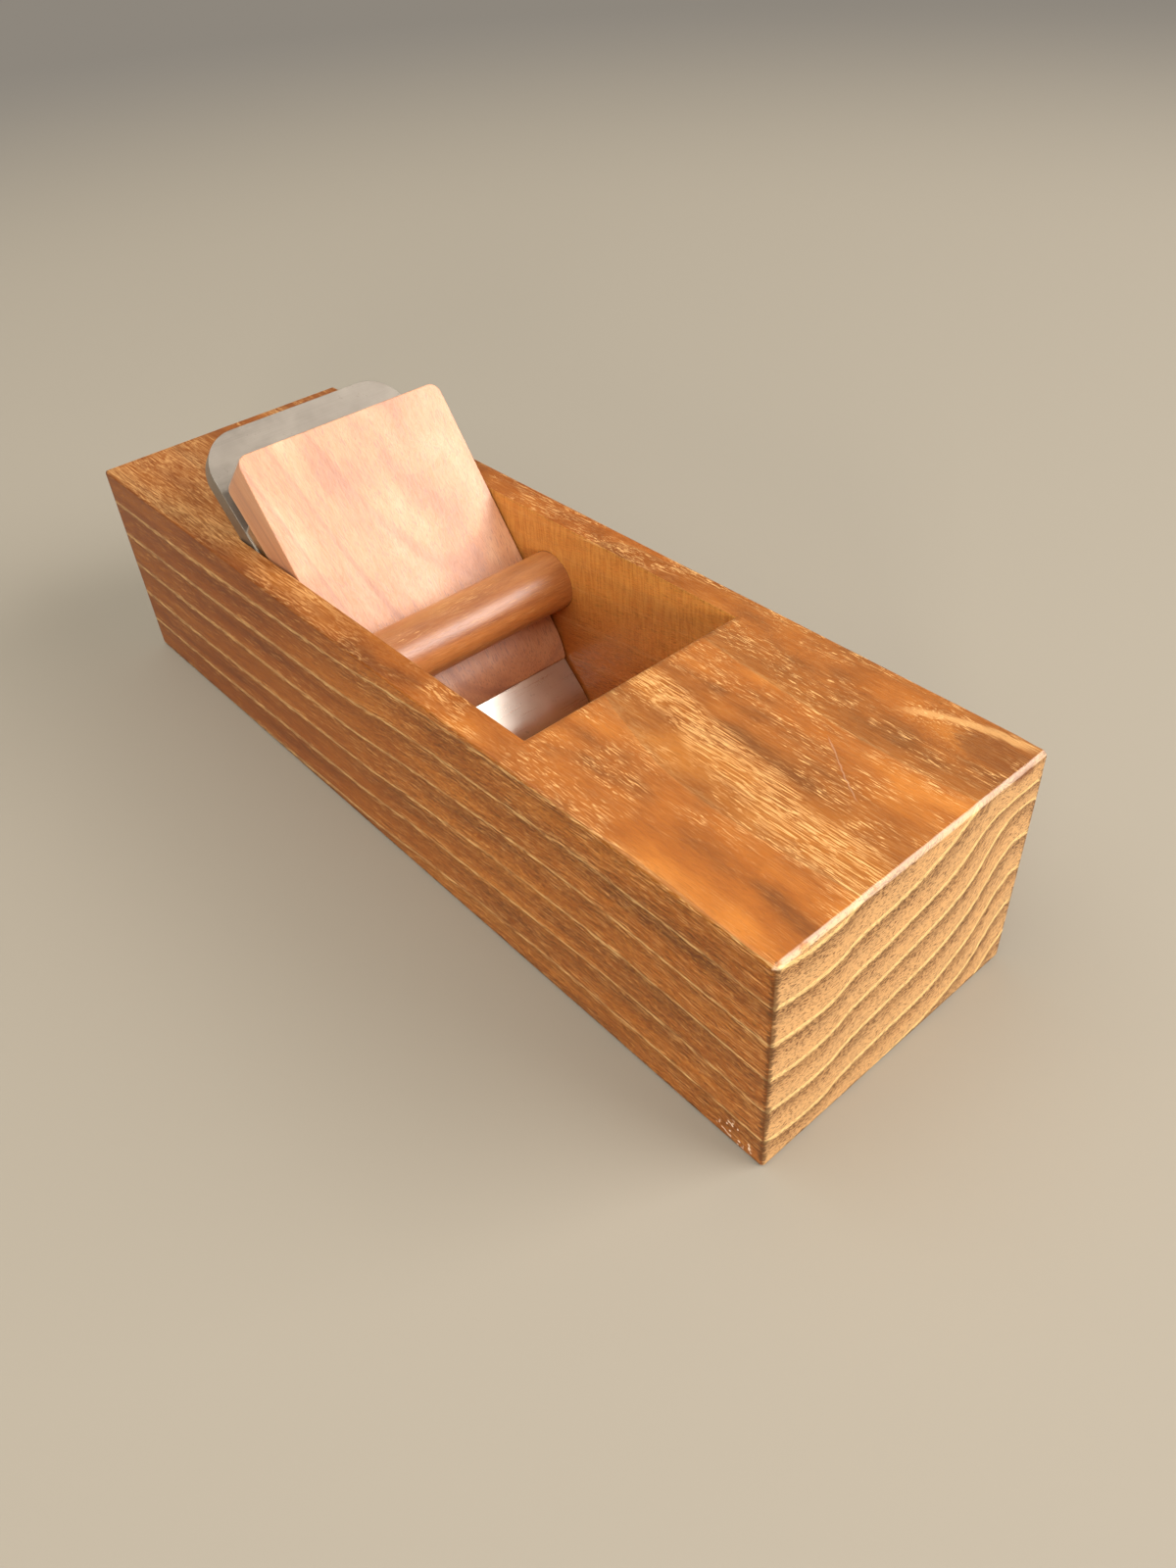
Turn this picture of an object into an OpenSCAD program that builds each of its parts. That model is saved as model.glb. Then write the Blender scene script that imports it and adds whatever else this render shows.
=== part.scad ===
// A wooden block plane in its own frame, in millimetres.
// +X points to the toe, +Y to the right cheek seen from the heel, +Z up.
// The origin is the middle of the sole, at the height of the surface that the plane stands on.

/* [Body] */
// Length of the body from heel to toe
body_length = 215; // [190:1:260]
// Width of the body across both cheeks
body_width = 65; // [60:0.5:80]
// Height of the body from the sole to its top face
body_height = 50; // [46:0.5:60]
// Width of the small flat that eases every outer edge of the body
body_arris = 0.8; // [0.2:0.1:2]
// Distance from the toe back to the cutting edge
toe_length = 104.8; // [90:0.5:120]

/* [Throat] */
// Slope of the bed that the iron lies on, in degrees above the sole
bed_angle = 45; // [43:0.5:48]
// How far ahead of the cutting edge the throat reaches at the top face
throat_reach = 42.4; // [40:0.2:56]
// Opening of the mouth ahead of the cutting edge
mouth_opening = 0.9; // [0.4:0.1:3]
// Height of the steep wall that rises from the front of the mouth
wear_height = 6; // [3:0.5:8]
// Slope of that steep wall, in degrees above the sole
wear_angle = 80; // [70:1:88]

/* [Iron] */
// Width of the iron
iron_width = 50.8; // [44:0.2:54]
// Thickness of the iron
iron_thickness = 4.5; // [3:0.1:5]
// Length of the iron from its cutting edge to its top end
iron_length = 95.6; // [92:0.5:130]
// Radius of the two rounded corners at the iron's top end
iron_corner_radius = 9; // [3:0.5:14]
// Angle ground on the iron's underside at the cutting edge, in degrees
iron_bevel_angle = 30; // [25:1:35]
// Distance from the cutting edge to the start of the iron's slot
slot_start = 31; // [26:0.5:34]
// Width of the iron's slot
slot_width = 11; // [9.5:0.1:14]
// Distance from the cutting edge to the middle of the round hole that ends the slot
keyhole_station = 62; // [60:0.5:64]
// Diameter of the round hole that ends the slot
keyhole_diameter = 16.4; // [16:0.1:20]
// How far the iron is drawn back up its bed from the level of the sole
iron_setback = 0.3; // [0:0.1:1]

/* [Chipbreaker] */
// Thickness of the chipbreaker
breaker_thickness = 3; // [2:0.1:3.6]
// Length of the chipbreaker
breaker_length = 73.8; // [71:0.2:80]
// Distance from the iron's cutting edge to the chipbreaker's nose
breaker_setback = 1.2; // [0.4:0.1:3]
// How much narrower the chipbreaker is than the iron, on each side
breaker_inset = 0.3; // [0.1:0.1:2]
// Length of the curved nose of the chipbreaker
nose_length = 9; // [5:0.5:14]
// Thickness left at the tip of the nose
nose_tip = 0.3; // [0.1:0.05:0.6]

/* [Breaker screw] */
// Distance from the cutting edge to the middle of the screw
screw_station = 41; // [39:0.5:42]
// Diameter of the screw's shank
shank_diameter = 8; // [6:0.1:8.8]
// Diameter of the screw's flat head
head_diameter = 15; // [14:0.1:15.6]
// Height of the screw's head
head_height = 3.2; // [2.4:0.1:3.6]
// Width of the driver slot in the head
driver_slot_width = 1.6; // [0.8:0.1:2.4]
// Depth of the driver slot in the head
driver_slot_depth = 1.5; // [0.8:0.1:2]
// How far the end of the shank stays below the chipbreaker's face
shank_recess = 0.2; // [0.1:0.1:1]

/* [Wedge] */
// Length of the wedge
wedge_length = 66.5; // [62:0.5:90]
// Angle between the wedge's two long faces, in degrees
wedge_angle = 8.8; // [7:0.1:10]
// Distance from the cutting edge to the wedge's tip
wedge_tip_station = 17.5; // [13:0.5:22]
// Height of the wedge's upper face above its underside at the tip, before rounding
wedge_tip_height = 2.6; // [2.2:0.1:3.4]
// Thickness of the blunt front edge that the rounding leaves
wedge_tip_flat = 0.6; // [0.3:0.1:1]
// Radius of the rounding over the wedge's tip
wedge_nose_radius = 15; // [12:0.5:18]
// Radius of the two upright corners at the wedge's top end
wedge_corner_radius = 2.5; // [1:0.1:6]
// Gap between the wedge and each cheek
wedge_side_gap = 0.5; // [0.2:0.1:1.5]

/* [Cross pin] */
// Diameter of the cross pin
pin_diameter = 13.6; // [12:0.1:15]
// Distance up the bed from the cutting edge to the middle of the pin
pin_station = 33.5; // [31:0.2:36]
// Wood left outside the blind end of the pin's seat
pin_seat_floor = 2.2; // [1:0.1:3]
// How far the other end of the pin lies below the face of the right cheek
pin_recess = 0.3; // [0.2:0.1:2]
// Width of the small flat that eases each end of the pin
pin_arris = 0.6; // [0.2:0.1:1.5]

/* [Clearances] */
// Gap between the iron and each cheek
iron_side_gap = 0.3; // [0.1:0.1:1]
// Gap between each pair of flat faces that lie on each other
seat_gap = 0.05; // [0.02:0.01:0.1]
// Gap all round between the pin and its seats
pin_fit = 0.06; // [0.02:0.01:0.1]
// Gap between the pin and the wedge's upper face
pin_wedge_gap = 0.12; // [0.05:0.01:0.3]
// Gap all round between the screw and the chipbreaker's hole
thread_fit = 0.05; // [0.02:0.01:0.1]
// Gap between the screw's head and the sides of its groove
groove_side_gap = 2; // [1.8:0.1:3]
// Gap under the screw's head in its groove
groove_floor_gap = 1; // [0.5:0.1:1.5]

/* [Hidden] */

// Overshoot of every cutting shape past the face that it cuts through
over = 1;
// Facets of the round shapes
round_facets = 96;

// Widths across the throat
throat_width = iron_width + 2 * iron_side_gap;
cheek_thickness = (body_width - throat_width) / 2;
breaker_width = iron_width - 2 * breaker_inset;
wedge_width = throat_width - 2 * wedge_side_gap;

// Levels above the bed, each piece lying on the one before it
iron_floor = seat_gap;
iron_face = iron_floor + iron_thickness;
breaker_floor = iron_face + seat_gap;
breaker_face = breaker_floor + breaker_thickness;
wedge_floor = breaker_face + seat_gap;

// The line where the cutting edge would meet the sole, and where the bed meets it
edge_x = body_length / 2 - toe_length;
bed_foot_x = edge_x - iron_face / sin(bed_angle);

// Place of the cutting edge along the bed, counted up from the bed's foot
edge_place = iron_setback - iron_face / tan(bed_angle);

// The front of the throat
mouth_front_x = edge_x + mouth_opening;
wear_top_x = mouth_front_x + wear_height / tan(wear_angle);
throat_front_x = edge_x + throat_reach;

// The pin touches the wedge's upper face from above, all but the gap between them
pin_radius = pin_diameter / 2;
pin_rise = (pin_radius + pin_wedge_gap) / cos(wedge_angle);
pin_level = wedge_floor + wedge_tip_height
    + (pin_station - wedge_tip_station) * tan(wedge_angle) + pin_rise;
pin_place = edge_place + pin_station;
pin_x = bed_foot_x - pin_place * cos(bed_angle) + pin_level * sin(bed_angle);
pin_z = pin_place * sin(bed_angle) + pin_level * cos(bed_angle);
pin_start_y = -body_width / 2 + pin_seat_floor;
pin_end_y = body_width / 2 - pin_recess;

// The groove in the bed that the screw's head runs in when the iron is drawn out
groove_width = head_diameter + 2 * groove_side_gap;
groove_depth = head_height + groove_floor_gap - iron_floor;
groove_start = edge_place + screw_station - groove_width / 2;
bed_length = body_height / sin(bed_angle);

// Places a shape drawn on the bed: X runs up the slope, Z stands off it.
module on_bed() {
    translate([bed_foot_x, 0, 0]) rotate([0, -bed_angle, 180]) children();
}

// A block centred on the Z axis, standing on the ground, with every edge eased.
module eased_block(size, ease) {
    half_x = size[0] / 2;
    half_y = size[1] / 2;
    top = size[2];
    intersection() {
        linear_extrude(height = top) eased_outline(half_x, half_y, ease);
        translate([0, half_y, top / 2]) rotate([90, 0, 0])
            linear_extrude(height = size[1]) eased_outline(half_x, top / 2, ease);
        translate([-half_x, 0, top / 2]) rotate([90, 0, 90])
            linear_extrude(height = size[0]) eased_outline(half_y, top / 2, ease);
    }
}

// A rectangle about its own middle whose four corners are cut at 45 degrees.
module eased_outline(half_a, half_b, ease) {
    polygon([
        [half_a - ease, -half_b], [half_a, -half_b + ease],
        [half_a, half_b - ease], [half_a - ease, half_b],
        [-half_a + ease, half_b], [-half_a, half_b - ease],
        [-half_a, -half_b + ease], [-half_a + ease, -half_b]
    ]);
}

// A rectangle from X = 0 to X = reach whose two far corners are rounded.
module round_ended(reach, width, radius) {
    translate([0, -width / 2]) square([reach - radius, width]);
    translate([0, -width / 2 + radius]) square([reach, width - 2 * radius]);
    for (side = [-1, 1])
        translate([reach - radius, side * (width / 2 - radius)])
            circle(r = radius, $fn = round_facets);
}

// The open space of the throat, from the mouth in the sole to the top face.
module throat_space() {
    run_out = over / tan(bed_angle);
    front_slope = (throat_front_x - wear_top_x) / (body_height - wear_height);
    translate([0, throat_width / 2, 0]) rotate([90, 0, 0])
        linear_extrude(height = throat_width)
            polygon([
                [bed_foot_x + run_out, -over],
                [mouth_front_x, -over],
                [mouth_front_x, 0],
                [wear_top_x, wear_height],
                [throat_front_x, body_height],
                [throat_front_x + over * front_slope, body_height + over],
                [bed_foot_x - (body_height + over) / tan(bed_angle), body_height + over]
            ]);
}

// The groove down the middle of the bed, with a round lower end.
module screw_groove() {
    on_bed() translate([0, 0, -groove_depth]) {
        translate([groove_start + groove_width / 2, 0, 0])
            cylinder(d = groove_width, h = groove_depth + over, $fn = round_facets);
        translate([groove_start + groove_width / 2, -groove_width / 2, 0])
            cube([bed_length, groove_width, groove_depth + over]);
    }
}

// The pin's seat: blind in the left cheek and right through the right one.
module pin_seat() {
    translate([pin_x, pin_start_y - pin_fit, pin_z]) rotate([-90, 0, 0])
        cylinder(r = pin_radius + pin_fit, h = body_width, $fn = round_facets);
}

module plane_body() {
    color("#b0703a") difference() {
        eased_block([body_length, body_width, body_height], body_arris);
        throat_space();
        screw_groove();
        pin_seat();
    }
}

module cross_pin() {
    pin_length = pin_end_y - pin_start_y;
    color("#8f4f28") translate([pin_x, pin_start_y, pin_z]) rotate([-90, 0, 0])
        rotate_extrude($fn = round_facets)
            polygon([
                [0, 0], [pin_radius - pin_arris, 0], [pin_radius, pin_arris],
                [pin_radius, pin_length - pin_arris],
                [pin_radius - pin_arris, pin_length], [0, pin_length]
            ]);
}

// Side view of the wedge: X runs from its tip to its top end, Y up from its underside.
module wedge_profile() {
    top_height = wedge_tip_height + wedge_length * tan(wedge_angle);
    tip_drop = (wedge_tip_height - wedge_tip_flat) * cos(wedge_angle);
    round_run = sqrt(2 * wedge_nose_radius * tip_drop - tip_drop * tip_drop);
    intersection() {
        polygon([[0, 0], [wedge_length, 0], [wedge_length, top_height], [0, wedge_tip_height]]);
        translate([0, wedge_tip_flat]) rotate(wedge_angle)
            translate([round_run, tip_drop - wedge_nose_radius]) {
                circle(r = wedge_nose_radius, $fn = 4 * round_facets);
                translate([0, -wedge_length])
                    square([2 * wedge_length, wedge_length + wedge_nose_radius]);
            }
    }
    square([round_run, wedge_tip_flat]);
}

module wedge() {
    color("#d9a679") on_bed() translate([edge_place + wedge_tip_station, 0, wedge_floor])
        intersection() {
            translate([0, wedge_width / 2, 0]) rotate([90, 0, 0])
                linear_extrude(height = wedge_width) wedge_profile();
            linear_extrude(height = wedge_length)
                round_ended(wedge_length, wedge_width, wedge_corner_radius);
        }
}

module iron() {
    color("#b9bcbd") on_bed() translate([edge_place, 0, iron_floor]) difference() {
        linear_extrude(height = iron_thickness) difference() {
            round_ended(iron_length, iron_width, iron_corner_radius);
            translate([keyhole_station, 0]) circle(d = keyhole_diameter, $fn = round_facets);
            translate([slot_start + slot_width / 2, 0])
                circle(d = slot_width, $fn = round_facets);
            translate([slot_start + slot_width / 2, -slot_width / 2])
                square([keyhole_station - slot_start - slot_width / 2, slot_width]);
        }
        translate([0, 0, iron_thickness]) rotate([0, iron_bevel_angle, 0])
            translate([-iron_thickness, -iron_width, -2 * iron_thickness])
                cube([4 * iron_thickness, 2 * iron_width, 2 * iron_thickness]);
    }
}

module chipbreaker() {
    nose_drop = breaker_thickness - nose_tip;
    nose_radius = (nose_length * nose_length + nose_drop * nose_drop) / (2 * nose_drop);
    color("#c4c2bd") on_bed()
        translate([edge_place + breaker_setback, 0, breaker_floor]) difference() {
            translate([0, breaker_width / 2, 0]) rotate([90, 0, 0])
                linear_extrude(height = breaker_width) intersection() {
                    square([breaker_length, breaker_thickness]);
                    union() {
                        translate([nose_length, breaker_thickness - nose_radius])
                            circle(r = nose_radius, $fn = 4 * round_facets);
                        translate([nose_length, 0])
                            square([breaker_length, breaker_thickness]);
                    }
                }
            translate([screw_station - breaker_setback, 0, -over])
                cylinder(r = shank_diameter / 2 + thread_fit,
                    h = breaker_thickness + 2 * over, $fn = round_facets);
        }
}

module breaker_screw() {
    head_floor = iron_floor - seat_gap - head_height;
    color("#8e8a84") on_bed() translate([edge_place + screw_station, 0, head_floor]) {
        difference() {
            cylinder(d = head_diameter, h = head_height, $fn = round_facets);
            translate([-head_diameter, -driver_slot_width / 2, -over])
                cube([2 * head_diameter, driver_slot_width, driver_slot_depth + over]);
        }
        cylinder(d = shank_diameter, h = breaker_face - shank_recess - head_floor,
            $fn = round_facets);
    }
}

plane_body();
cross_pin();
wedge();
iron();
chipbreaker();
breaker_screw();
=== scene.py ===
"""The looks of a wooden block plane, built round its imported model.

A solid hardwood body holds an iron on a 45 degree bed. A chipbreaker is screwed to the iron, and a wooden
wedge holds both down under a round cross pin. Lengths are in metres, with MM for millimetres. Those in
a wood, in a steel and of the camera's sensor are in millimetres.
"""
import logging
import math
from dataclasses import dataclass
from enum import Enum
from typing import Callable, Sequence, Union

import bmesh
import bpy
import numpy as np
from mathutils import Matrix, Vector, noise


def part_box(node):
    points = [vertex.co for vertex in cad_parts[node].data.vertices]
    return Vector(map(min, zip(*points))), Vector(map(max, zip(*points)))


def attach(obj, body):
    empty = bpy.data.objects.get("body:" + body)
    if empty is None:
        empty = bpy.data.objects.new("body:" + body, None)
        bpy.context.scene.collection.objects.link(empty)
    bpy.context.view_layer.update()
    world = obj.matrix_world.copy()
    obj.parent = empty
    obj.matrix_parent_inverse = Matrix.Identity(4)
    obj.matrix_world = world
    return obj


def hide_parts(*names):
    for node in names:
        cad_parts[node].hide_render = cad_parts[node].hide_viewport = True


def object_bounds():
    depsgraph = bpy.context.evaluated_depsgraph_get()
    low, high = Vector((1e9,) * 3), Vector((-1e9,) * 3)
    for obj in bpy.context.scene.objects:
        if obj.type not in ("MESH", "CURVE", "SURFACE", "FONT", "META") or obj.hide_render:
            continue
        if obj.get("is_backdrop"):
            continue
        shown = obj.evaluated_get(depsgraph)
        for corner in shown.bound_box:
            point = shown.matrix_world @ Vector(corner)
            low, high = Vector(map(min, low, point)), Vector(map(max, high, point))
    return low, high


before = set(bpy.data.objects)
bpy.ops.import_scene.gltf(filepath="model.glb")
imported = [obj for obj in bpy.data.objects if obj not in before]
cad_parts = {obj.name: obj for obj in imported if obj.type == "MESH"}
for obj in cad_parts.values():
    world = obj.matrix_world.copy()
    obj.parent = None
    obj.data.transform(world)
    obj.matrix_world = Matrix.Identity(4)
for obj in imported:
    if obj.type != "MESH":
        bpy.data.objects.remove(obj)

MM = 0.001
# How far a cutter stands out of what it cuts.
OVER = 1.0 * MM
# An edge is sharp where the surface turns by more than this.
SHARP = math.radians(28)
# A face comes to count as facing an axis while its normal's share along it rises from one to the other.
FACING = (0.55, 0.8)
# How far apart the lines of the body's surface lie.
FINE_GRID = 1.5 * MM
LOG = logging.getLogger("wooden_plane")

Outline = Sequence[tuple[float, float]]
Colour = tuple[float, float, float]
Size = tuple[float, float, float]
Value = Union[float, "Output"]
PerFace = tuple[Value, Value, Value]


class Grain(Enum):
    """Which way the fibres of a wooden piece run, as the mirror and the turn that lay them along X."""

    ALONG_BODY = ((1.0, 1.0, 1.0), (0.0, 0.0, 0.0))
    UP_THE_BED = ((-1.0, 1.0, 1.0), (0.0, 45.0, 0.0))
    ALONG_PIN = ((-1.0, 1.0, 1.0), (0.0, 0.0, -90.0))


class Grinding(Enum):
    """Which way the fine scratches of a steel face run."""

    LENGTHWISE = "up the bed"
    CROSSWISE = "across the bed"


def tone(code: str) -> Colour:
    """Turns a screen colour into the light that a shader works with."""
    parts = [int(code[i : i + 2], 16) / 255 for i in (0, 2, 4)]
    return tuple(p / 12.92 if p <= 0.04045 else ((p + 0.055) / 1.055) ** 2.4 for p in parts)


def smooth_step(value: float, low: float, high: float) -> float:
    """Rises smoothly from 0 at low to 1 at high."""
    t = min(1.0, max(0.0, (value - low) / (high - low)))
    return t * t * (3 - 2 * t)


@dataclass(frozen=True)
class Layout:
    """Where the bed lies in the body, and how the pieces stack up on it.

    A place on the bed is (up, across, off): up the slope from the bed's foot, across the body, off the bed.
    """

    length: float
    width: float
    height: float
    throat_half: float
    bed_angle: float = math.radians(45)
    toe_length: float = 104.8 * MM
    iron_thickness: float = 4.5 * MM
    breaker_thickness: float = 3.0 * MM
    iron_setback: float = 0.3 * MM
    seat_gap: float = 0.05 * MM
    screw_station: float = 41.0 * MM

    @classmethod
    def from_frame(cls, side_gap: float = 0.3 * MM) -> "Layout":
        """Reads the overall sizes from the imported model.

        Args:
            side_gap: The gap between the iron and each cheek.

        Returns:
            The layout of this plane.
        """
        low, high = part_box("plane_body")
        size = high - low
        return cls(size.x, size.y, size.z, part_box("iron")[1].y + side_gap)

    @property
    def edge_x(self) -> float:
        """Where the cutting edge's line meets the sole."""
        return self.length / 2 - self.toe_length

    @property
    def iron_face(self) -> float:
        """Height of the iron's face off the bed."""
        return self.seat_gap + self.iron_thickness

    @property
    def breaker_face(self) -> float:
        """Height of the chipbreaker's face off the bed."""
        return self.iron_face + self.seat_gap + self.breaker_thickness

    @property
    def foot_x(self) -> float:
        """Where the bed meets the sole."""
        return self.edge_x - self.iron_face / math.sin(self.bed_angle)

    @property
    def edge_up(self) -> float:
        """Place of the cutting edge up the bed."""
        return self.iron_setback - self.iron_face / math.tan(self.bed_angle)

    def bed(self, up: float = 0.0, off: float = 0.0) -> Matrix:
        """Gives the turn and shift from a place on the bed to the body's own axes.

        Args:
            up: How far up the slope the new origin lies.
            off: How far off the bed the new origin lies.

        Returns:
            The matrix. It mirrors, so the solids that it places have their faces turned outwards again.
        """
        cos, sin = math.cos(self.bed_angle), math.sin(self.bed_angle)
        x = self.foot_x - up * cos + off * sin
        z = up * sin + off * cos
        return Matrix(((-cos, 0, sin, x), (0, 1, 0, 0), (sin, 0, cos, z), (0, 0, 0, 1)))


def arc(centre: tuple[float, float], radius: float, start: float, end: float, steps: int) -> list:
    """Lists the points of a round stretch of an outline."""
    angles = [math.radians(start + (end - start) * i / steps) for i in range(steps + 1)]
    return [(centre[0] + radius * math.cos(a), centre[1] + radius * math.sin(a)) for a in angles]


def circle(centre: tuple[float, float], radius: float, steps: int) -> list:
    """Lists the points of a round outline."""
    return arc(centre, radius, 0, 360, steps)[:-1]


def loft(sections: Sequence[Sequence[Vector]]) -> bmesh.types.BMesh:
    """Skins a closed solid over rings of points that lie one after another.

    Args:
        sections: The rings, each with the same number of points in the same order.

    Returns:
        The solid, with its faces turned outwards.
    """
    bm = bmesh.new()
    rings = [[bm.verts.new(p) for p in section] for section in sections]
    count = len(rings[0])
    for ring, following in zip(rings, rings[1:]):
        for i in range(count):
            j = (i + 1) % count
            bm.faces.new((ring[i], ring[j], following[j], following[i]))
    bm.faces.new(rings[0])
    bm.faces.new(rings[-1])
    bmesh.ops.recalc_face_normals(bm, faces=bm.faces[:])
    return bm


def plate(outline: Outline, low: float, high: float) -> bmesh.types.BMesh:
    """Makes a flat plate from its outline seen from above."""
    return loft([[Vector((a, b, level)) for a, b in outline] for level in (low, high)])


def bar(outline: Outline, half_width: float) -> bmesh.types.BMesh:
    """Makes a bar from its outline seen from the side."""
    return loft([[Vector((a, side * half_width, b)) for a, b in outline] for side in (-1, 1)])


def ease_edges(
    bm: bmesh.types.BMesh,
    width: float,
    steps: int = 3,
    wanted: Callable[[bmesh.types.BMEdge], bool] = lambda edge: True,
) -> None:
    """Rounds over the sharp edges of a solid.

    Args:
        bm: The solid.
        width: Width of the rounding on each face.
        steps: Number of faces across the rounding.
        wanted: Says of an edge whether it is rounded.
    """
    edges = [
        e for e in bm.edges
        if len(e.link_faces) == 2 and e.calc_face_angle(0.0) > SHARP and wanted(e)
    ]
    bmesh.ops.bevel(
        bm, geom=edges, offset=width, segments=steps, profile=0.5, affect="EDGES", clamp_overlap=True
    )


def clip_corners(bm: bmesh.types.BMesh, end: float, width: float, steps: int) -> None:
    """Rounds the two corners at the top end of a bar.

    Args:
        bm: The bar.
        end: Place of its top end.
        width: Width of the rounding on each face.
        steps: Number of faces across the rounding.
    """
    near = 0.01 * MM
    corners = [
        e for e in bm.edges
        if all(v.co.x > end - near for v in e.verts) and abs(e.verts[0].co.y - e.verts[1].co.y) < MM
    ]
    bmesh.ops.bevel(bm, geom=corners, offset=width, segments=steps, profile=0.5, affect="EDGES")


def make_object(name: str, bm: bmesh.types.BMesh, place: Matrix = Matrix.Identity(4)) -> bpy.types.Object:
    """Turns a solid into an object whose place is in its mesh.

    Args:
        name: Name of the object.
        bm: The solid, which is used up.
        place: Where the solid goes.

    Returns:
        The object, at the origin.
    """
    bmesh.ops.transform(bm, matrix=place, verts=bm.verts[:])
    bmesh.ops.recalc_face_normals(bm, faces=bm.faces[:])
    mesh = bpy.data.meshes.new(name)
    bm.to_mesh(mesh)
    bm.free()
    made = bpy.data.objects.new(name, mesh)
    bpy.context.scene.collection.objects.link(made)
    return made


def take_solid(made: bpy.types.Object) -> bmesh.types.BMesh:
    """Takes the solid out of an object, which is removed.

    Args:
        made: The object.

    Returns:
        The solid.
    """
    bm = bmesh.new()
    bm.from_mesh(made.data)
    mesh = made.data
    bpy.data.objects.remove(made)
    bpy.data.meshes.remove(mesh)
    return bm


def settle(made: bpy.types.Object) -> None:
    """Replaces an object's mesh by the one that its modifiers give, and removes them.

    Args:
        made: The object.
    """
    graph = bpy.context.evaluated_depsgraph_get()
    graph.update()
    mesh = bpy.data.meshes.new_from_object(
        made.evaluated_get(graph), preserve_all_data_layers=True, depsgraph=graph
    )
    made.modifiers.clear()
    old, made.data = made.data, mesh
    bpy.data.meshes.remove(old)
    mesh.name = made.name


def cut(made: bpy.types.Object, tool: bpy.types.Object) -> None:
    """Cuts the shape of a tool out of an object.

    Args:
        made: The object that is cut.
        tool: The closed solid to take away, which is removed.
    """
    change = made.modifiers.new("cut", "BOOLEAN")
    change.operation = "DIFFERENCE"
    change.solver = "EXACT"
    change.object = tool
    settle(made)
    bpy.data.objects.remove(tool)


def smooth_shade(made: bpy.types.Object) -> None:
    """Shades the rounded parts smooth, and keeps the large faces flat up to their edges.

    Args:
        made: The object.
    """
    made.data.shade_smooth()
    made.data.set_sharp_from_angle(angle=SHARP)
    change = made.modifiers.new("even", "WEIGHTED_NORMAL")
    change.mode = "FACE_AREA"
    change.keep_sharp = True
    settle(made)


class Output:
    """What a node gives, so that sums with it are written as plain sums."""

    def __init__(self, tree: "NodeTree", socket: bpy.types.NodeSocket) -> None:
        """Keeps the socket and its tree."""
        self.tree = tree
        self.socket = socket

    def __add__(self, other: Value) -> "Output":
        """Adds a number."""
        return self.tree.math("ADD", self, other)

    def __sub__(self, other: Value) -> "Output":
        """Takes a number away."""
        return self.tree.math("SUBTRACT", self, other)

    def __rsub__(self, other: Value) -> "Output":
        """Takes this away from a number."""
        return self.tree.math("SUBTRACT", other, self)

    def __mul__(self, other: Value) -> "Output":
        """Multiplies by a number."""
        return self.tree.math("MULTIPLY", self, other)

    def __truediv__(self, other: Value) -> "Output":
        """Divides by a number."""
        return self.tree.math("DIVIDE", self, other)

    def __abs__(self) -> "Output":
        """Drops the sign."""
        return self.tree.math("ABSOLUTE", self)

    __radd__ = __add__
    __rmul__ = __mul__


class NodeTree:
    """Short ways to lay the nodes of one tree."""

    def __init__(self, tree: bpy.types.NodeTree) -> None:
        """Keeps the tree."""
        self.tree = tree

    def join(self, value: object, socket: bpy.types.NodeSocket) -> None:
        """Joins a socket to an output, or sets it.

        Args:
            value: An output, a number, several numbers, or a colour's six hexadecimal digits.
            socket: The socket that takes it.
        """
        if isinstance(value, Output):
            self.tree.links.new(value.socket, socket)
        elif isinstance(value, str):
            socket.default_value = (*tone(value), 1.0)
        else:
            socket.default_value = value

    def node(self, kind: str, inputs: dict | None = None, out: int | str = 0, **settings: object) -> Output:
        """Adds a node, sets it and joins what it reads.

        Args:
            kind: The node's type.
            inputs: What each input is joined to or set to, by name or number.
            out: Name or number of the output that is wanted.
            settings: The node's own settings.

        Returns:
            The output.
        """
        made = self.tree.nodes.new(kind)
        for key, value in settings.items():
            setattr(made, key, value)
        for key, value in (inputs or {}).items():
            self.join(value, made.inputs[key])
        return Output(self, made.outputs[out])

    def math(self, operation: str, *values: Value, clamp: bool = False) -> Output:
        """Works out one number from others."""
        return self.node("ShaderNodeMath", dict(enumerate(values)), operation=operation, use_clamp=clamp)

    def most(self, first: Value, second: Value) -> Output:
        """Gives the larger of two numbers."""
        return self.math("MAXIMUM", first, second)

    def least(self, first: Value, second: Value) -> Output:
        """Gives the smaller of two numbers."""
        return self.math("MINIMUM", first, second)

    def joined(self, x: Value = 0.0, y: Value = 0.0, z: Value = 0.0) -> Output:
        """Joins three numbers into a vector."""
        return self.node("ShaderNodeCombineXYZ", {0: x, 1: y, 2: z})

    def parts(self, vector: Output) -> list[Output]:
        """Splits a vector into its three numbers."""
        split = self.node("ShaderNodeSeparateXYZ", {0: vector}).socket.node
        return [Output(self, socket) for socket in split.outputs]


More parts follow.
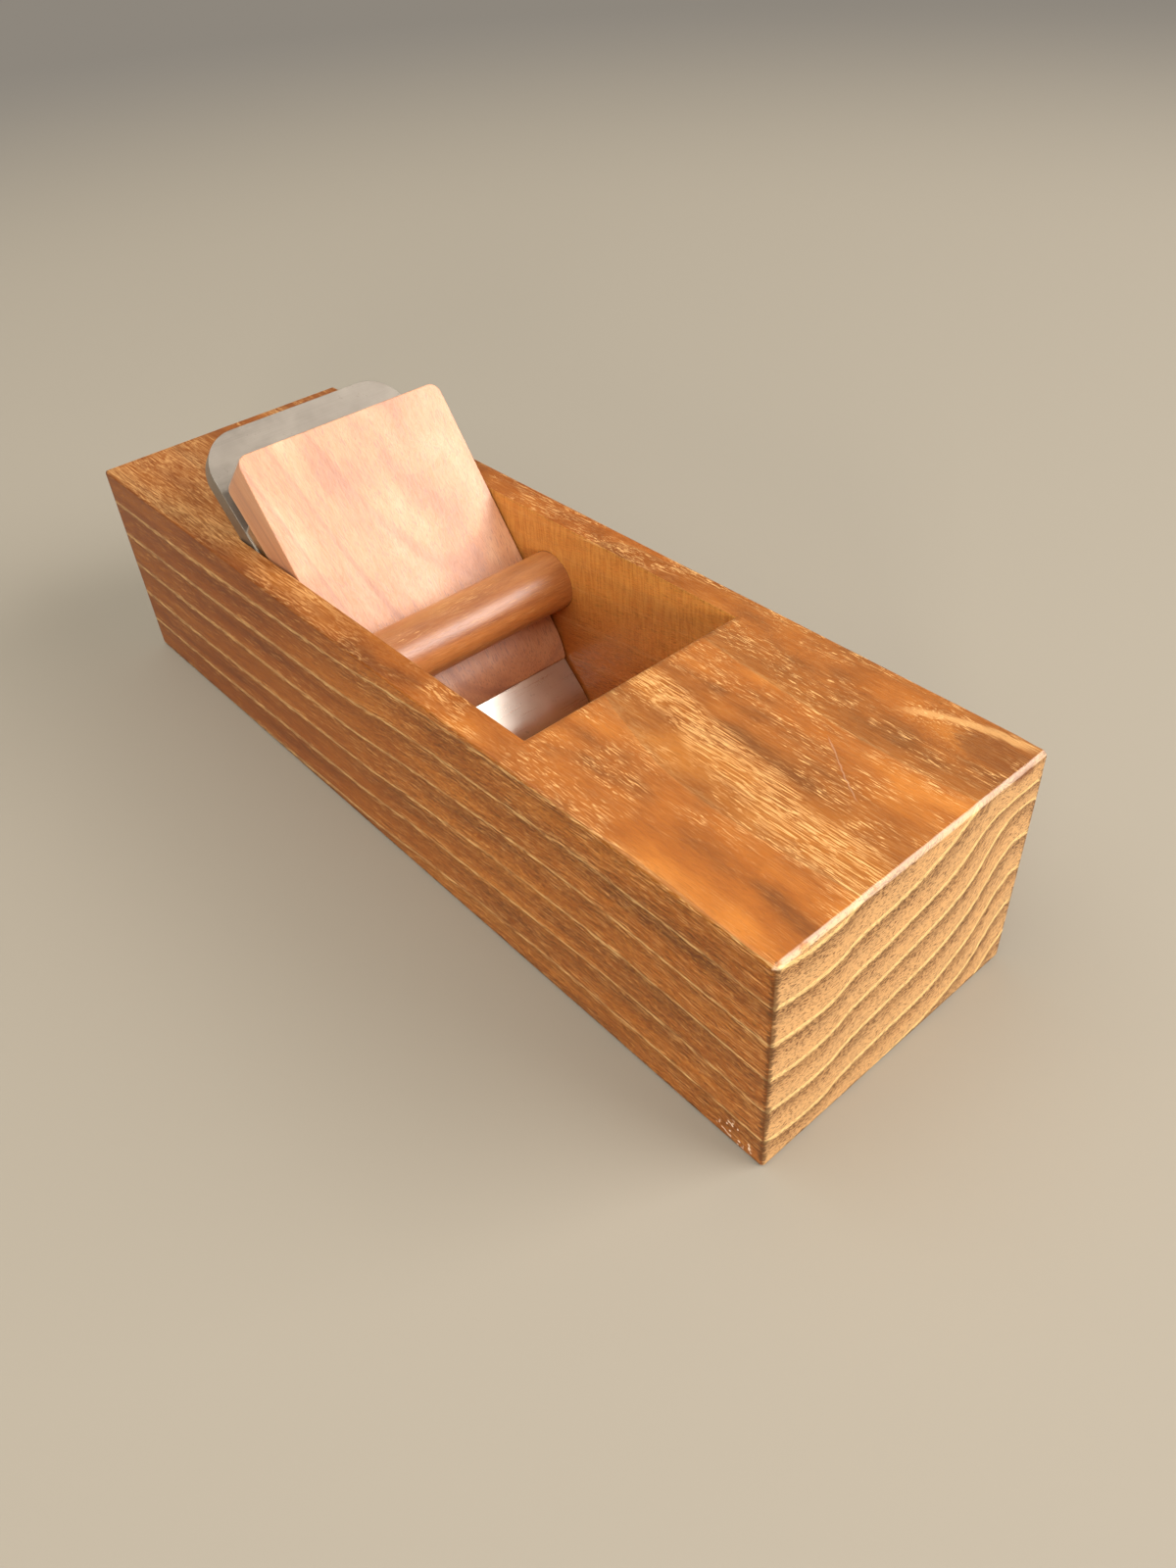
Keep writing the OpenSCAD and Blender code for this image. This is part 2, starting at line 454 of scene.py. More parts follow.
class Shader(NodeTree):
    """Short ways to lay the nodes of one material."""

    def __init__(self, name: str) -> None:
        """Starts a material with a Principled BSDF alone.

        Args:
            name: Name of the material.
        """
        self.material = bpy.data.materials.new(name)
        self.material.use_nodes = True
        super().__init__(self.material.node_tree)

    def finish(self, values: dict[str, object]) -> bpy.types.Material:
        """Joins or sets the surface's own sockets.

        Args:
            values: What each socket is joined to or set to, by name.

        Returns:
            The finished material.
        """
        surface = self.tree.nodes["Principled BSDF"]
        for name, value in values.items():
            self.join(value, surface.inputs[name])
        return self.material

    def laid(self, source: str, scale: Size, turn: Size = (0.0, 0.0, 0.0)) -> Output:
        """Scales a piece's own coordinates, and then turns them.

        Args:
            source: Name of the coordinates.
            scale: The scale on each axis, which mirrors where it is negative.
            turn: The turn about each axis, in degrees.

        Returns:
            The coordinates.
        """
        place = self.node("ShaderNodeTexCoord", out=source)
        angles = tuple(math.radians(angle) for angle in turn)
        return self.node("ShaderNodeMapping", {"Vector": place, "Scale": scale, "Rotation": angles})

    def shrunk(self, place: Output, size: Size) -> Output:
        """Divides coordinates by a pattern's size, so that one unit is one feature."""
        return self.node("ShaderNodeVectorMath", {0: place, 1: size}, operation="DIVIDE")

    def noise(self, vector: Output, detail: float = 2.0, rough: float = 0.5) -> Output:
        """Gives a soft random pattern whose features are about one unit across."""
        inputs = {"Vector": vector, "Scale": 1.0, "Detail": detail, "Roughness": rough}
        return self.node("ShaderNodeTexNoise", inputs)

    def swing(self, value: Value, pattern: Output, reach: float) -> Output:
        """Moves a number up and down with a pattern."""
        return (pattern - 0.5) * reach + value

    def rise(self, value: Output, low: float, high: float) -> Output:
        """Turns a number into a smooth rise from 0 at low to 1 at high."""
        inputs = {0: value, 1: low, 2: high, 3: 0.0, 4: 1.0}
        return self.node("ShaderNodeMapRange", inputs, interpolation_type="SMOOTHSTEP")

    def between(self, share: Value, first: Value, last: Value, low: float = 0.0, high: float = 1.0) -> Output:
        """Goes evenly from one number to another."""
        return self.node("ShaderNodeMapRange", {0: share, 1: low, 2: high, 3: first, 4: last})

    def curve(self, value: Output, places: Outline) -> Output:
        """Follows a smooth curve through a few chosen points.

        Args:
            value: The number that goes in.
            places: The points, as pairs of what goes in and what comes out.

        Returns:
            What the curve gives.
        """
        (start, end), outs = (places[0][0], places[-1][0]), [p[1] for p in places]
        low, high = min(outs), max(outs)
        made = self.node("ShaderNodeFloatCurve", {"Value": self.between(value, 0.0, 1.0, start, end)})
        mapping = made.socket.node.mapping
        points = mapping.curves[0].points
        spots = [((a - start) / (end - start), (b - low) / (high - low)) for a, b in places]
        points[0].location = spots[0]
        points[-1].location = spots[-1]
        for spot in spots[1:-1]:
            points.new(*spot)
        mapping.update()
        return made * (high - low) + low

    def mix(self, share: Value, first: object, second: object) -> Output:
        """Mixes two colours."""
        return self.node("ShaderNodeMix", {0: share, 6: first, 7: second}, 2, data_type="RGBA")

    def bump(self, height: Output, depth: float, under: Output | None = None) -> Output:
        """Presses a height pattern into the surface.

        Args:
            height: The pattern, from 0 to 1.
            depth: How deep it goes, in metres.
            under: A bump that this one adds to.

        Returns:
            The bent normal.
        """
        inputs = {"Height": height, "Distance": depth, "Strength": 1.0}
        if under is not None:
            inputs["Normal"] = under
        return self.node("ShaderNodeBump", inputs)


class Board(Shader):
    """A wooden finish being laid, and what it knows of each place on the piece, in millimetres."""

    def __init__(self, name: str, grain: Grain) -> None:
        """Starts a finish whose coordinates lie along and across the fibres.

        Args:
            name: Name of the material.
            grain: Which way the fibres run.
        """
        super().__init__(name)
        mirror, turn = grain.value
        self.place = self.laid("Object", tuple(side / MM for side in mirror), turn)
        self.along, self.across, self.up = self.parts(self.place)
        self.looks = self.parts(self.laid("Normal", mirror, turn))
        self.end = self.rise(abs(self.looks[0]), *FACING)
        self.face = self.rise(abs(self.looks[2]), *FACING)

    def speckle(self, up: Output, size: Size, detail: float = 2.0) -> Output:
        """Gives a soft random pattern that is stretched along the fibres."""
        return self.noise(self.shrunk(self.joined(self.along, self.across, up), size), detail)

    def reach(self, middle_x: float, middle_y: float, run: float, spread: float) -> Output:
        """Measures from the middle of an ellipse seen from above.

        Args:
            middle_x: Place of its middle along the fibres.
            middle_y: Place of its middle across them.
            run: Half its length.
            spread: Half its width.

        Returns:
            0 at the middle and 1 at the edge, growing with the square of the distance.
        """
        far = (self.along - middle_x) / run
        near = (self.across - middle_y) / spread
        return far * far + near * near

    def pick(self, sizes: PerFace) -> Output:
        """Chooses a number by the way a face looks."""
        side, flat, cross = sizes
        return self.between(self.end, self.between(self.face, side, flat), cross)


@dataclass(frozen=True)
class Figure:
    """Where a board's figure changes, each as a share from 0 to 1."""

    lined: Value = 0.0
    calm: Value = 0.0
    bold: Value = 0.0
    thin: Value = 0.0


@dataclass(frozen=True)
class Growth:
    """The patterns that a board's colour is mixed from."""

    field: Output
    turns: Output
    offset: Output
    curl: Output
    bands: Output
    pores: Output
    fibres: Output
    clouds: Output
    patches: Output
    band: Output
    pore: Output
    under: Output
    figure: Figure
    lined: Output
    inner: Value


@dataclass(frozen=True)
class Wood:
    """An open-pored hardwood with light ring lines, finished with oil worked in by rubbing.

    The rings are the level lines of one field through the whole piece, so that they meet at its arrises. Its
    light lines, its bands of light tissue and its pores all follow that field. Lengths are in millimetres. A
    size is a pattern's length along the fibres, its width and its height. A share is how strongly something
    shows. Where it has three numbers, they are for the sides, the faces that look up and the end grain.
    """

    name: str
    grain: Grain
    deep: str = "6b320a"
    middle: str = "9c5214"
    golden: str = "c27429"
    dash: str = "f0bb78"
    line: str = "f4cf8c"
    dark: str = "4e2a0a"
    end_dark: str = "56381a"
    end_light: str = "d8af78"
    # Colour of the light flecks, and of the light painted on the throat's cheek walls.
    fleck_and_painted_light: str = "d9a050"
    # Lighter colour of the throat's walls, which hides their rings and is partly painted light.
    wall_tone_and_painted_light: str = "c4702f"
    # Colour of the light marks of use, and of the painted highlight on the toe's top arris.
    mark_and_painted_highlight: str = "f6dcc4"
    ring_pitch: float = 8.4
    ring_phase: float = 7.1
    drift_size: Size = (60.0, 20.0, 16.0)
    drift_reach: float = 1.8
    ripple_size: Size = (7.0, 2.6, 2.6)
    ripple_reach: float = 0.9
    band_size: Size = (3.8, 0.75, 0.16)
    pore_size: Size = (2.8, 0.2, 0.2)
    fibre_size: Size = (9.0, 0.16, 0.16)
    fleck_size: Size = (0.9, 0.4, 0.1)
    broad_size: Size = (4.6, 0.42, 0.3)
    break_size: Size = (8.0, 1.6, 1.2)
    cloud_size: Size = (46.0, 9.0, 5.0)
    zone_size: Size = (15.0, 6.0, 3.0)
    patch_size: Size = (13.0, 7.0, 7.0)
    line_share: PerFace = (0.66, 0.1, 0.85)
    dash_share: PerFace = (1.0, 0.9, 0.15)
    dark_share: PerFace = (0.6, 0.22, 0.1)
    long_share: PerFace = (0.08, 0.1, 0.1)
    band_share: PerFace = (0.2, 0.12, 0.1)
    fleck_share: PerFace = (0.0, 0.0, 0.0)
    row_share: PerFace = (0.5, 0.0, 0.0)
    least_crowd: PerFace = (0.45, 0.12, 0.4)
    streaks: PerFace = (0.16, 0.064, 0.096)
    end_share: float = 0.8
    own_shade: float = 0.08
    lined_light: float = 0.2
    furrow_share: float = 0.3
    broad_share: float = 0.7
    wall_tone_and_painted_light_share: float = 0.6
    # Darkening of the upright and lower arrises: small dents and painted reflection.
    dents_and_reflection_share: float = 0.75
    painted_highlight_share: float = 0.3
    blotches: float = 0.65
    heel_lines: float = 1.0
    # Painted light on the faces that look up.
    painted_top_light: float = 0.07
    ring_shade: float = 0.3
    halo_edge: tuple[float, float] = (44.0, 47.0)
    fibre_depth: float = 0.012
    pore_depth: float = 0.03
    roughness: float = 0.4
    specular: float = 0.25
    coat: float = 0.0
    coat_roughness: float = 0.25

    def rings(self, board: Board) -> Output:
        """Lays the field whose level lines are the rings, in millimetres."""
        raise NotImplementedError

    def figure(self, board: Board, halo: Output, patches: Output) -> Figure:
        """Gives the board's figure; the light lines follow the rings."""
        return Figure(lined=halo)

    def shade(self, board: Board, curl: Output) -> Value:
        """Gives how much darker the colour is made in places, from 0 to 1: the wood's own dark patches, and
        painted shade.
        """
        return 0.0

    def inside(self, board: Board) -> Value:
        """Gives the walls of a hollow, whose rings are hidden under a lighter colour that is partly painted
        light, from 0 to 1.
        """
        return 0.0

    def arris_dents_and_painted_light(self, board: Board) -> tuple[Value, Value]:
        """Gives two masks of the arrises: the dark ones, partly small dents and partly painted reflection,
        and the painted highlight.
        """
        return 0.0, 0.0

    def painted_wall_light(self, board: Board) -> Value:
        """Gives how strongly light is painted onto a hollow's walls, from 0 to 1."""
        return 0.0

    def vein(self, board: Board, patches: Output) -> Value:
        """Gives a light vein in the wood, from 0 to 1."""
        return 0.0

    def marks(self, board: Board) -> Value:
        """Gives the light marks of use, from 0 to 1."""
        return 0.0

    def grow(self, board: Board) -> Growth:
        """Lays the patterns that the colour is mixed from.

        Args:
            board: The finish being laid.

        Returns:
            The patterns.
        """
        drift = board.speckle(board.up, self.drift_size, 1.0)
        field = board.swing(self.rings(board), drift, self.drift_reach)
        ripple = board.speckle(board.up, self.ripple_size, 1.0)
        curl = board.swing(field, ripple, self.ripple_reach)
        bands = board.speckle(curl, self.band_size)
        pores = board.speckle(curl, self.pore_size)
        clouds = board.speckle(field, self.cloud_size, 3.0)
        patches = board.speckle(board.up, self.patch_size)
        turns = (field - self.ring_phase) / self.ring_pitch
        offset = (turns - board.math("ROUND", turns)) * self.ring_pitch
        halo = board.rise(abs(board.swing(offset, clouds, 1.5)), 2.4, 0.2)
        figure = self.figure(board, halo * board.rise(field, *self.halo_edge), patches)
        return Growth(
            field=field,
            turns=turns,
            offset=offset,
            curl=curl,
            bands=bands,
            pores=pores,
            fibres=board.speckle(curl, self.fibre_size),
            clouds=clouds,
            patches=patches,
            band=board.rise(bands, 0.42, 0.6),
            pore=board.rise(pores, 0.56, 0.61),
            under=board.rise(board.math("CEIL", turns) - turns, 0.7, 0.08),
            figure=figure,
            lined=figure.lined * board.face,
            inner=self.inside(board),
        )

    def ring_line(self, board: Board, growth: Growth) -> Output:
        """Lays the light line of each ring, which frays and breaks up along the fibres.

        Args:
            board: The finish being laid.
            growth: Its patterns.

        Returns:
            The mask of the lines.
        """
        thin = growth.figure.thin * (1 - board.end)
        loose = board.end * -0.45 + 0.8
        ragged = board.swing(growth.offset, growth.pores, loose)
        ragged = board.swing(ragged, growth.bands, loose) * (thin * 1.1 + 1)
        line = board.rise(ragged, -0.95, -0.25) * board.rise(ragged, 0.45, 0.22)
        kept = board.rise(board.speckle(growth.curl, self.break_size, 1.0), 0.36, 0.5)
        kept = (kept - 1) * thin + 1
        kept = kept * board.most(board.end, board.rise(growth.pores, 0.36, 0.52))
        return line * (kept * 0.75 + 0.25)

    def ground(self, board: Board, growth: Growth) -> Output:
        """Mixes the wood's own colour, with the end grain, the darker wood under each ring line, painted
        shade towards the heel, and the throat's walls, whose lighter colour is partly painted light.

        Args:
            board: The finish being laid.
            growth: Its patterns.

        Returns:
            The colour.
        """
        ring = board.math("ROUND", growth.turns)
        own = board.node("ShaderNodeTexWhiteNoise", {"W": ring}, noise_dimensions="1D")
        streak = (growth.fibres - 0.5) * board.pick(self.streaks)
        blotch = (growth.patches - 0.5) * (board.face * self.blotches)
        warmth = growth.clouds + own * self.own_shade + streak + blotch + growth.lined * self.lined_light
        base = board.mix(board.rise(warmth, 0.22, 0.55), self.deep, self.middle)
        base = board.mix(board.rise(warmth, 0.48, 0.86), base, self.golden)
        specks = board.rise(growth.under * -0.1 + growth.bands, 0.34, 0.47)
        cross = board.mix(specks, self.end_dark, self.end_light)
        base = board.mix(board.end * self.end_share, base, cross)
        base = board.mix(growth.band * board.pick(self.band_share), base, self.golden)
        base = board.mix(growth.under * self.ring_shade, base, self.dark)
        # Darker towards the deep tone: the knot's own strokes, and painted shade towards the heel.
        base = board.mix(self.shade(board, growth.curl), base, self.deep)
        # Partly painted light: the throat's walls take a lighter colour, which also hides their rings.
        return board.mix(growth.inner * self.wall_tone_and_painted_light_share, base, self.wall_tone_and_painted_light)

    def darkened(self, board: Board, growth: Growth, base: Output) -> Output:
        """Lays the flecks, the dark pores, painted light on the faces that look up, and the dark furrows.

        Args:
            board: The finish being laid.
            growth: Its patterns.
            base: The colour so far.

        Returns:
            The colour.
        """
        flecks = board.speckle(growth.curl, self.fleck_size)
        mottle = growth.figure.thin * board.pick(self.fleck_share)
        base = board.mix(board.rise(flecks, 0.47, 0.36) * mottle, base, self.dark)
        base = board.mix(board.rise(flecks, 0.55, 0.66) * mottle, base, self.fleck_and_painted_light)
        share = board.pick(self.dark_share) * (growth.figure.thin * 0.5 + 0.5)
        base = board.mix(board.rise(growth.pores, 0.44, 0.35) * share, base, self.dark)
        # Painted light: the faces that look up are lightened towards the dash colour, less so towards the
        # heel.
        painted_top_share = growth.figure.bold * (-0.7 * self.painted_top_light) + self.painted_top_light
        base = board.mix(board.face * painted_top_share, base, self.dash)
        furrow = board.rise(growth.fibres, 0.44, 0.36) * (growth.lined * self.furrow_share)
        return board.mix(furrow, base, self.deep)

    def lightened(self, board: Board, growth: Growth, base: Output) -> Output:
        """Lays the light pores, which stand in rows beside the ring lines, and then those lines.

        Args:
            board: The finish being laid.
            growth: Its patterns.
            base: The colour so far.

        Returns:
            The colour.
        """
        figure, curl = growth.figure, growth.curl
        zones = board.rise(board.speckle(growth.field, self.zone_size, 1.5), 0.42, 0.58)
        crowd = board.between(zones, board.pick(self.least_crowd), 1.0)
        broad = board.rise(board.speckle(curl, self.broad_size), 0.55, 0.64)
        broad = broad * (figure.bold * board.face) * self.broad_share
        dash = board.most(growth.pore * (growth.band * 0.6 + 0.4), broad) * crowd
        long_pores = board.rise(growth.fibres, 0.52, 0.6)
        dash = board.most(dash, long_pores * board.most(growth.lined, board.pick(self.long_share)))
        dash = dash * (figure.calm * board.face * -0.85 + 1) * (growth.inner * -0.6 + 1)
        near_heel = figure.thin * (1 - self.heel_lines) + self.heel_lines
        row = board.rise(abs(growth.offset), 1.7, 0.4)
        rows = (row - 1) * board.pick(self.row_share) + 1
        share = board.pick(self.dash_share) * (near_heel * rows)
        base = board.mix(dash * share, base, self.dash)
        share = board.pick(self.line_share) * (board.rise(growth.bands, 0.35, 0.55) * 0.5 + 0.5)
        share = share * (growth.inner * -0.8 + 1) * board.pick((near_heel, near_heel, 1.0))
        return board.mix(self.ring_line(board, growth) * share, base, self.line)

    def build(self) -> bpy.types.Material:
        """Lays the whole material.

        Returns:
            The material.
        """
        board = Board(self.name, self.grain)
        growth = self.grow(board)
        base = self.ground(board, growth)
        base = self.darkened(board, growth, base)
        base = self.lightened(board, growth, base)
        # Painted light on the upper part of the throat's cheek walls.
        base = board.mix(self.painted_wall_light(board), base, self.fleck_and_painted_light)
        base = board.mix(self.vein(board, growth.patches), base, self.dash)
        base = board.mix(self.marks(board), base, self.mark_and_painted_highlight)
        dents_and_painted_reflection, painted_arris_highlight = self.arris_dents_and_painted_light(board)
        # Partly painted reflection: the upright and lower arrises are darkened, broken by teeth like small
        # dents.
        base = board.mix(dents_and_painted_reflection * self.dents_and_reflection_share, base, self.dark)
        # Painted highlight: the toe's top arris is whitened, and made a little smoother.
        base = board.mix(painted_arris_highlight * self.painted_highlight_share, base, self.mark_and_painted_highlight)
        gloss = growth.pore * 0.12 + growth.fibres * 0.1 + board.end * 0.12 + (self.roughness - 0.05)
        gloss = board.math("MULTIPLY_ADD", painted_arris_highlight, -0.2, gloss, clamp=True)
        fine = board.bump(growth.fibres, self.fibre_depth * MM)
        return board.finish({
            "Base Color": base,
            "Roughness": gloss,
            "Specular IOR Level": self.specular,
            "Coat Weight": self.coat,
            "Coat Roughness": self.coat_roughness,
            "Normal": board.bump(growth.pore, -self.pore_depth * MM, fine),
        })


@dataclass(frozen=True)
class BlockWood(Wood):
    """The wood of the body, whose rings lie nearly flat and turn up at the right cheek.

    The knot and the calm patch are ellipses seen from above: the place of the middle along and across, half
    the length and half the width. The scratch runs from its first such place to its second. The chipped
    corner is a ball: its middle and its radius. The rings' height is given at places across by ring_rise
    and at places along by ring_run. The light vein and band give a place across at each place along.
    """

    half_length: float = 107.5
    half_width: float = 32.5
    height: float = 50.0
    ring_rise: Outline = (
        (-32.5, 0.6), (-19.5, -1.1), (-13.5, 0.8), (-3.0, 2.2), (4.0, 3.9), (10.3, 6.2), (14.6, 8.6),
        (18.9, 12.5), (23.2, 15.9), (27.0, 17.2), (32.5, 13.6),
    )
    ring_run: Outline = (
        (-107.5, -7.6), (-60.0, -6.9), (-11.0, -5.4), (17.0, -2.6), (55.0, -0.2), (75.0, 0.5), (107.5, 0.0),
    )
    crest_height: float = 40.7
    crest_lean: float = 0.2
    crest_drop: float = 0.43
    crest_rise: float = 8.0
    knot: tuple[float, float, float, float] = (102.5, 25.8, 13.0, 4.6)
    knot_depth: float = 2.0
    knot_shade: float = 0.8
    stroke_size: Size = (5.0, 0.8, 0.5)
    light_vein: Outline = (
        (82.0, 24.0), (85.7, 25.7), (91.0, 28.0), (96.3, 29.4), (101.0, 30.2), (107.5, 31.0),
    )
    vein_size: Size = (3.0, 0.7, 0.7)
    vein_share: float = 0.5
    light_band: Outline = ((20.0, 4.0), (50.0, 0.3), (77.0, -6.1), (100.7, -10.5), (107.5, -11.5))
    band_widths: tuple[float, float] = (3.0, 5.6)
    band_run: tuple[float, float] = (40.0, 105.0)
    calm_patch: tuple[float, float, float, float] = (92.0, -26.0, 24.0, 8.0)
    scratch: tuple[float, float, float, float] = (80.0, 10.7, 94.1, 1.0)
    scratch_share: float = 0.15
    waver_size: Size = (3.0, 3.0, 3.0)
    chipped: tuple[Size, float] = ((101.5, -32.5, 2.2), 5.0)
    chip_size: Size = (0.7, 0.7, 0.7)
    tooth_size: Size = (3.0, 3.0, 0.6)
    rub_size: Size = (4.0, 4.0, 4.0)
    # Painted shade, darker towards the heel.
    painted_heel_shade: float = 0.58
    cheek: tuple[float, float] = (6.2, 6.6)
    paring_size: Size = (0.45, 1.0, 5.0)

    def rings(self, board: Board) -> Output:
        """Lays the field whose level lines are the rings.

        The rings rise towards the right cheek and turn over there, lower down farther out.

        Args:
            board: The finish being laid.

        Returns:
            The field, in millimetres.
        """
        lean = (board.up - self.crest_height) * self.crest_lean * board.rise(board.across, -5, 12)
        rise = board.curve(board.across + lean, self.ring_rise)
        spare = board.most(rise - self.crest_rise, 0.0) * -self.crest_drop
        rise = spare * board.rise(board.up, 40, 45) + rise
        hump = board.rise(board.reach(*self.knot), 2.2, 0.0) * board.rise(board.up, 38, 50)
        rise = hump * -self.knot_depth + rise
        return board.up - rise - board.curve(board.along, self.ring_run)

    def figure(self, board: Board, halo: Output, patches: Output) -> Figure:
        """Lays a lined band down the toe's top, a calm patch beside it and bolder marks towards the heel.

        Args:
            board: The finish being laid.
            halo: Mask of the wood beside the rings.
            patches: A soft pattern that frays the edges.

        Returns:
            The figure.
        """
        along = board.along
        gap = board.swing(board.across - board.curve(along, self.light_band), patches, 5.0)
        gap = abs(gap) / board.between(along, *self.band_widths, *self.band_run)
        band = board.rise(gap, 1.3, 0.5) * board.rise(along, 25, 40)
        heel = halo * board.rise(along, 25, 0)
        reach = board.swing(board.reach(*self.calm_patch), patches, 0.8)
        return Figure(
            lined=board.most(band, heel),
            calm=board.rise(reach, 1.2, 0.6),
            bold=board.rise(along, 55, 25),
            thin=board.rise(along, -40, 50),
        )

    def vein(self, board: Board, patches: Output) -> Output:
        """Lays the light vein that bends round the knot, on the top only.

        Args:
            board: The finish being laid.
            patches: A soft pattern that frays the edges.

        Returns:
            The mask.
        """
        gap = board.swing(board.across - board.curve(board.along, self.light_vein), patches, 1.6)
        gap = abs(board.swing(gap, board.speckle(board.up, self.vein_size), 2.4))
        ends = board.rise(board.along, 82, 88) * board.rise(board.along, 108, 103)
        return board.rise(gap, 1.5, 0.3) * ends * board.rise(board.up, 46, 48.5) * self.vein_share

    def shade(self, board: Board, curl: Output) -> Output:
        """Paints a little shade towards the heel, and darkens the wood in strokes round the small knot at the
        toe.

        Args:
            board: The finish being laid.
            curl: The rippled field of the rings.

        Returns:
            The share of dark: painted shade towards the heel, and the knot's own dark strokes.
        """
        x, y, run, spread = self.knot
        strokes = board.speckle(curl, self.stroke_size)
        reach = board.swing(board.reach(x, y, 0.6 * run, 0.75 * spread), strokes, 1.6)
        patch = board.rise(reach, 1.5, 0.6) * board.rise(strokes, 0.0, 0.45) * board.rise(board.up, 47, 49.2)
        # Painted shade: the colour darkens towards the heel, as where less light falls.
        heel = board.rise(board.along, 60, -100) * self.painted_heel_shade
        return board.most(heel, patch * self.knot_shade)

    def marks(self, board: Board) -> Output:
        """Lays a faint scratch on the top and a few tiny chips by the toe's lower left corner.

        Args:
            board: The finish being laid.

        Returns:
            The mask.
        """
        x0, y0, x1, y1 = self.scratch
        length = math.hypot(x1 - x0, y1 - y0)
        run, side = (x1 - x0) / length, (y1 - y0) / length
        from_x, from_y = board.along - x0, board.across - y0
        down = from_x * run + from_y * side
        waver = board.speckle(board.up, self.waver_size, 1.0)
        off = board.swing(from_x * side - from_y * run, waver, 1.6)
        line = board.rise(abs(off), 0.16, 0.05) * board.rise(board.up, 45, 48)
        line = line * board.rise(down, 0.0, 1.5) * board.rise(down, length, length - 1.5)
        middle, radius = self.chipped
        gap = board.node("ShaderNodeVectorMath", {0: board.place, 1: middle}, "Value", operation="DISTANCE")
        spots = board.rise(board.speckle(board.up, self.chip_size, 0.0), 0.68, 0.74)
        return board.most(line * self.scratch_share, board.rise(gap, radius, 0.5 * radius) * spots)

    def between_cheeks(self, board: Board) -> Output:
        """Gives the width between the two cheeks' inner walls, those walls included."""
        return board.rise(abs(board.across), *(self.half_width - inset for inset in self.cheek))

    def inside(self, board: Board) -> Output:
        """Finds the throat's walls."""
        upright = board.rise(board.up, self.height - 0.3, self.height - 0.8) * board.rise(board.up, 0.2, 0.5)
        return self.between_cheeks(board) * upright * board.rise(abs(board.along), 100, 95)

    def painted_wall_light(self, board: Board) -> Output:
        """Paints light on the upper part of the throat's cheek walls, broken into upright streaks.

        Args:
            board: The finish being laid.

        Returns:
            The mask of the painted light.
        """
        rows = board.rise(board.speckle(board.up, self.paring_size), 0.35, 0.65) * 0.35 + 0.3
        wall = board.rise(abs(board.looks[1]), 0.8, 0.95)
        return self.between_cheeks(board) * board.rise(board.up, 14.0, 46.0) * rows * wall

    def arris_dents_and_painted_light(self, board: Board) -> tuple[Output, Output]:
        """Lays the masks of the upright and lower arrises, darkened partly by small dents and partly by
        painted reflection, and of the painted highlight on the toe's top arris.

        Args:
            board: The finish being laid.

        Returns:
            Both masks.
        """
        to_end = self.half_length - abs(board.along)
        to_side = self.half_width - abs(board.across)
        lower = board.most(board.up, board.least(to_end, to_side))
        nearest = board.least(board.most(to_end, to_side), lower)
        teeth = board.speckle(board.up, self.tooth_size)
        # Partly painted reflection of a dark surround along the upright and lower arrises, with teeth like
        # small dents.
        dark = board.rise(board.swing(nearest, teeth, -3.0), 1.15, 0.3)
        # Painted highlight along the toe's top arris, in patches.
        to_arris = board.most(self.half_length - board.along, self.height - board.up)
        patchy = board.speckle(board.up, self.rub_size)
        painted_arris_highlight = board.rise(board.swing(to_arris, patchy, 0.6), 0.95, 0.6)
        return dark, painted_arris_highlight * board.rise(patchy, 0.25, 0.4)


@dataclass(frozen=True)
class BilletWood(Wood):
    """The wood of a small piece, cut so that its rings run out along a slow slope."""

    slope: float = 0.03
    bow: float = 0.02
    shift: float = 0.0
    lean: float = 0.0

    def rings(self, board: Board) -> Output:
        """Lays the field whose level lines are the rings."""
        middle = board.across - self.shift
        return board.along * self.slope + middle * self.lean + board.up - middle * middle * self.bow


@dataclass(frozen=True)
class Steel:
    """Ground steel with fine scratches one way, and a soft satin shine. Sizes are in millimetres."""

    name: str
    grinding: Grinding
    bright: str
    dull: str
    spot: str = "6d655c"
    roughness: float = 0.34
    scratch_length: float = 14.0
    scratch_width: float = 0.16
    scratch_height: float = 0.4
    cloud_size: float = 9.0
    spot_size: float = 1.6
    scratch_depth: float = 0.006
    brushing: float = 0.5
    metal: float = 1.0

    def build(self) -> bpy.types.Material:
        """Lays the whole material.

        Returns:
            The material.
        """
        shader = Shader(self.name)
        run, wide = self.scratch_length, self.scratch_width
        if self.grinding is Grinding.CROSSWISE:
            run, wide = wide, run
        diagonal = math.sqrt(2) / MM
        slope = shader.laid("Object", (-diagonal, 1 / MM, diagonal), (0.0, 45.0, 0.0))
        scratch = shader.noise(shader.shrunk(slope, (run, wide, self.scratch_height)), 3.0, 0.6)
        cloud = shader.noise(shader.laid("Object", (1 / (self.cloud_size * MM),) * 3), 3.0, 0.55)
        spots = shader.noise(shader.laid("Object", (1 / (self.spot_size * MM),) * 3), 4.0, 0.6)
        spots = shader.rise(spots, 0.62, 0.72)
        strokes = scratch * self.brushing + (0.05 - 0.5 * self.brushing)
        share = shader.math("MULTIPLY_ADD", cloud, 0.9, strokes, clamp=True)
        gloss = scratch * 0.2 + cloud * 0.12 + (self.roughness - 0.1)
        return shader.finish({
            "Base Color": shader.mix(spots * 0.25, shader.mix(share, self.dull, self.bright), self.spot),
            "Metallic": self.metal,
            "Roughness": shader.math("MULTIPLY_ADD", spots, 0.15, gloss, clamp=True),
            "Normal": shader.bump(scratch, self.scratch_depth * MM),
        })


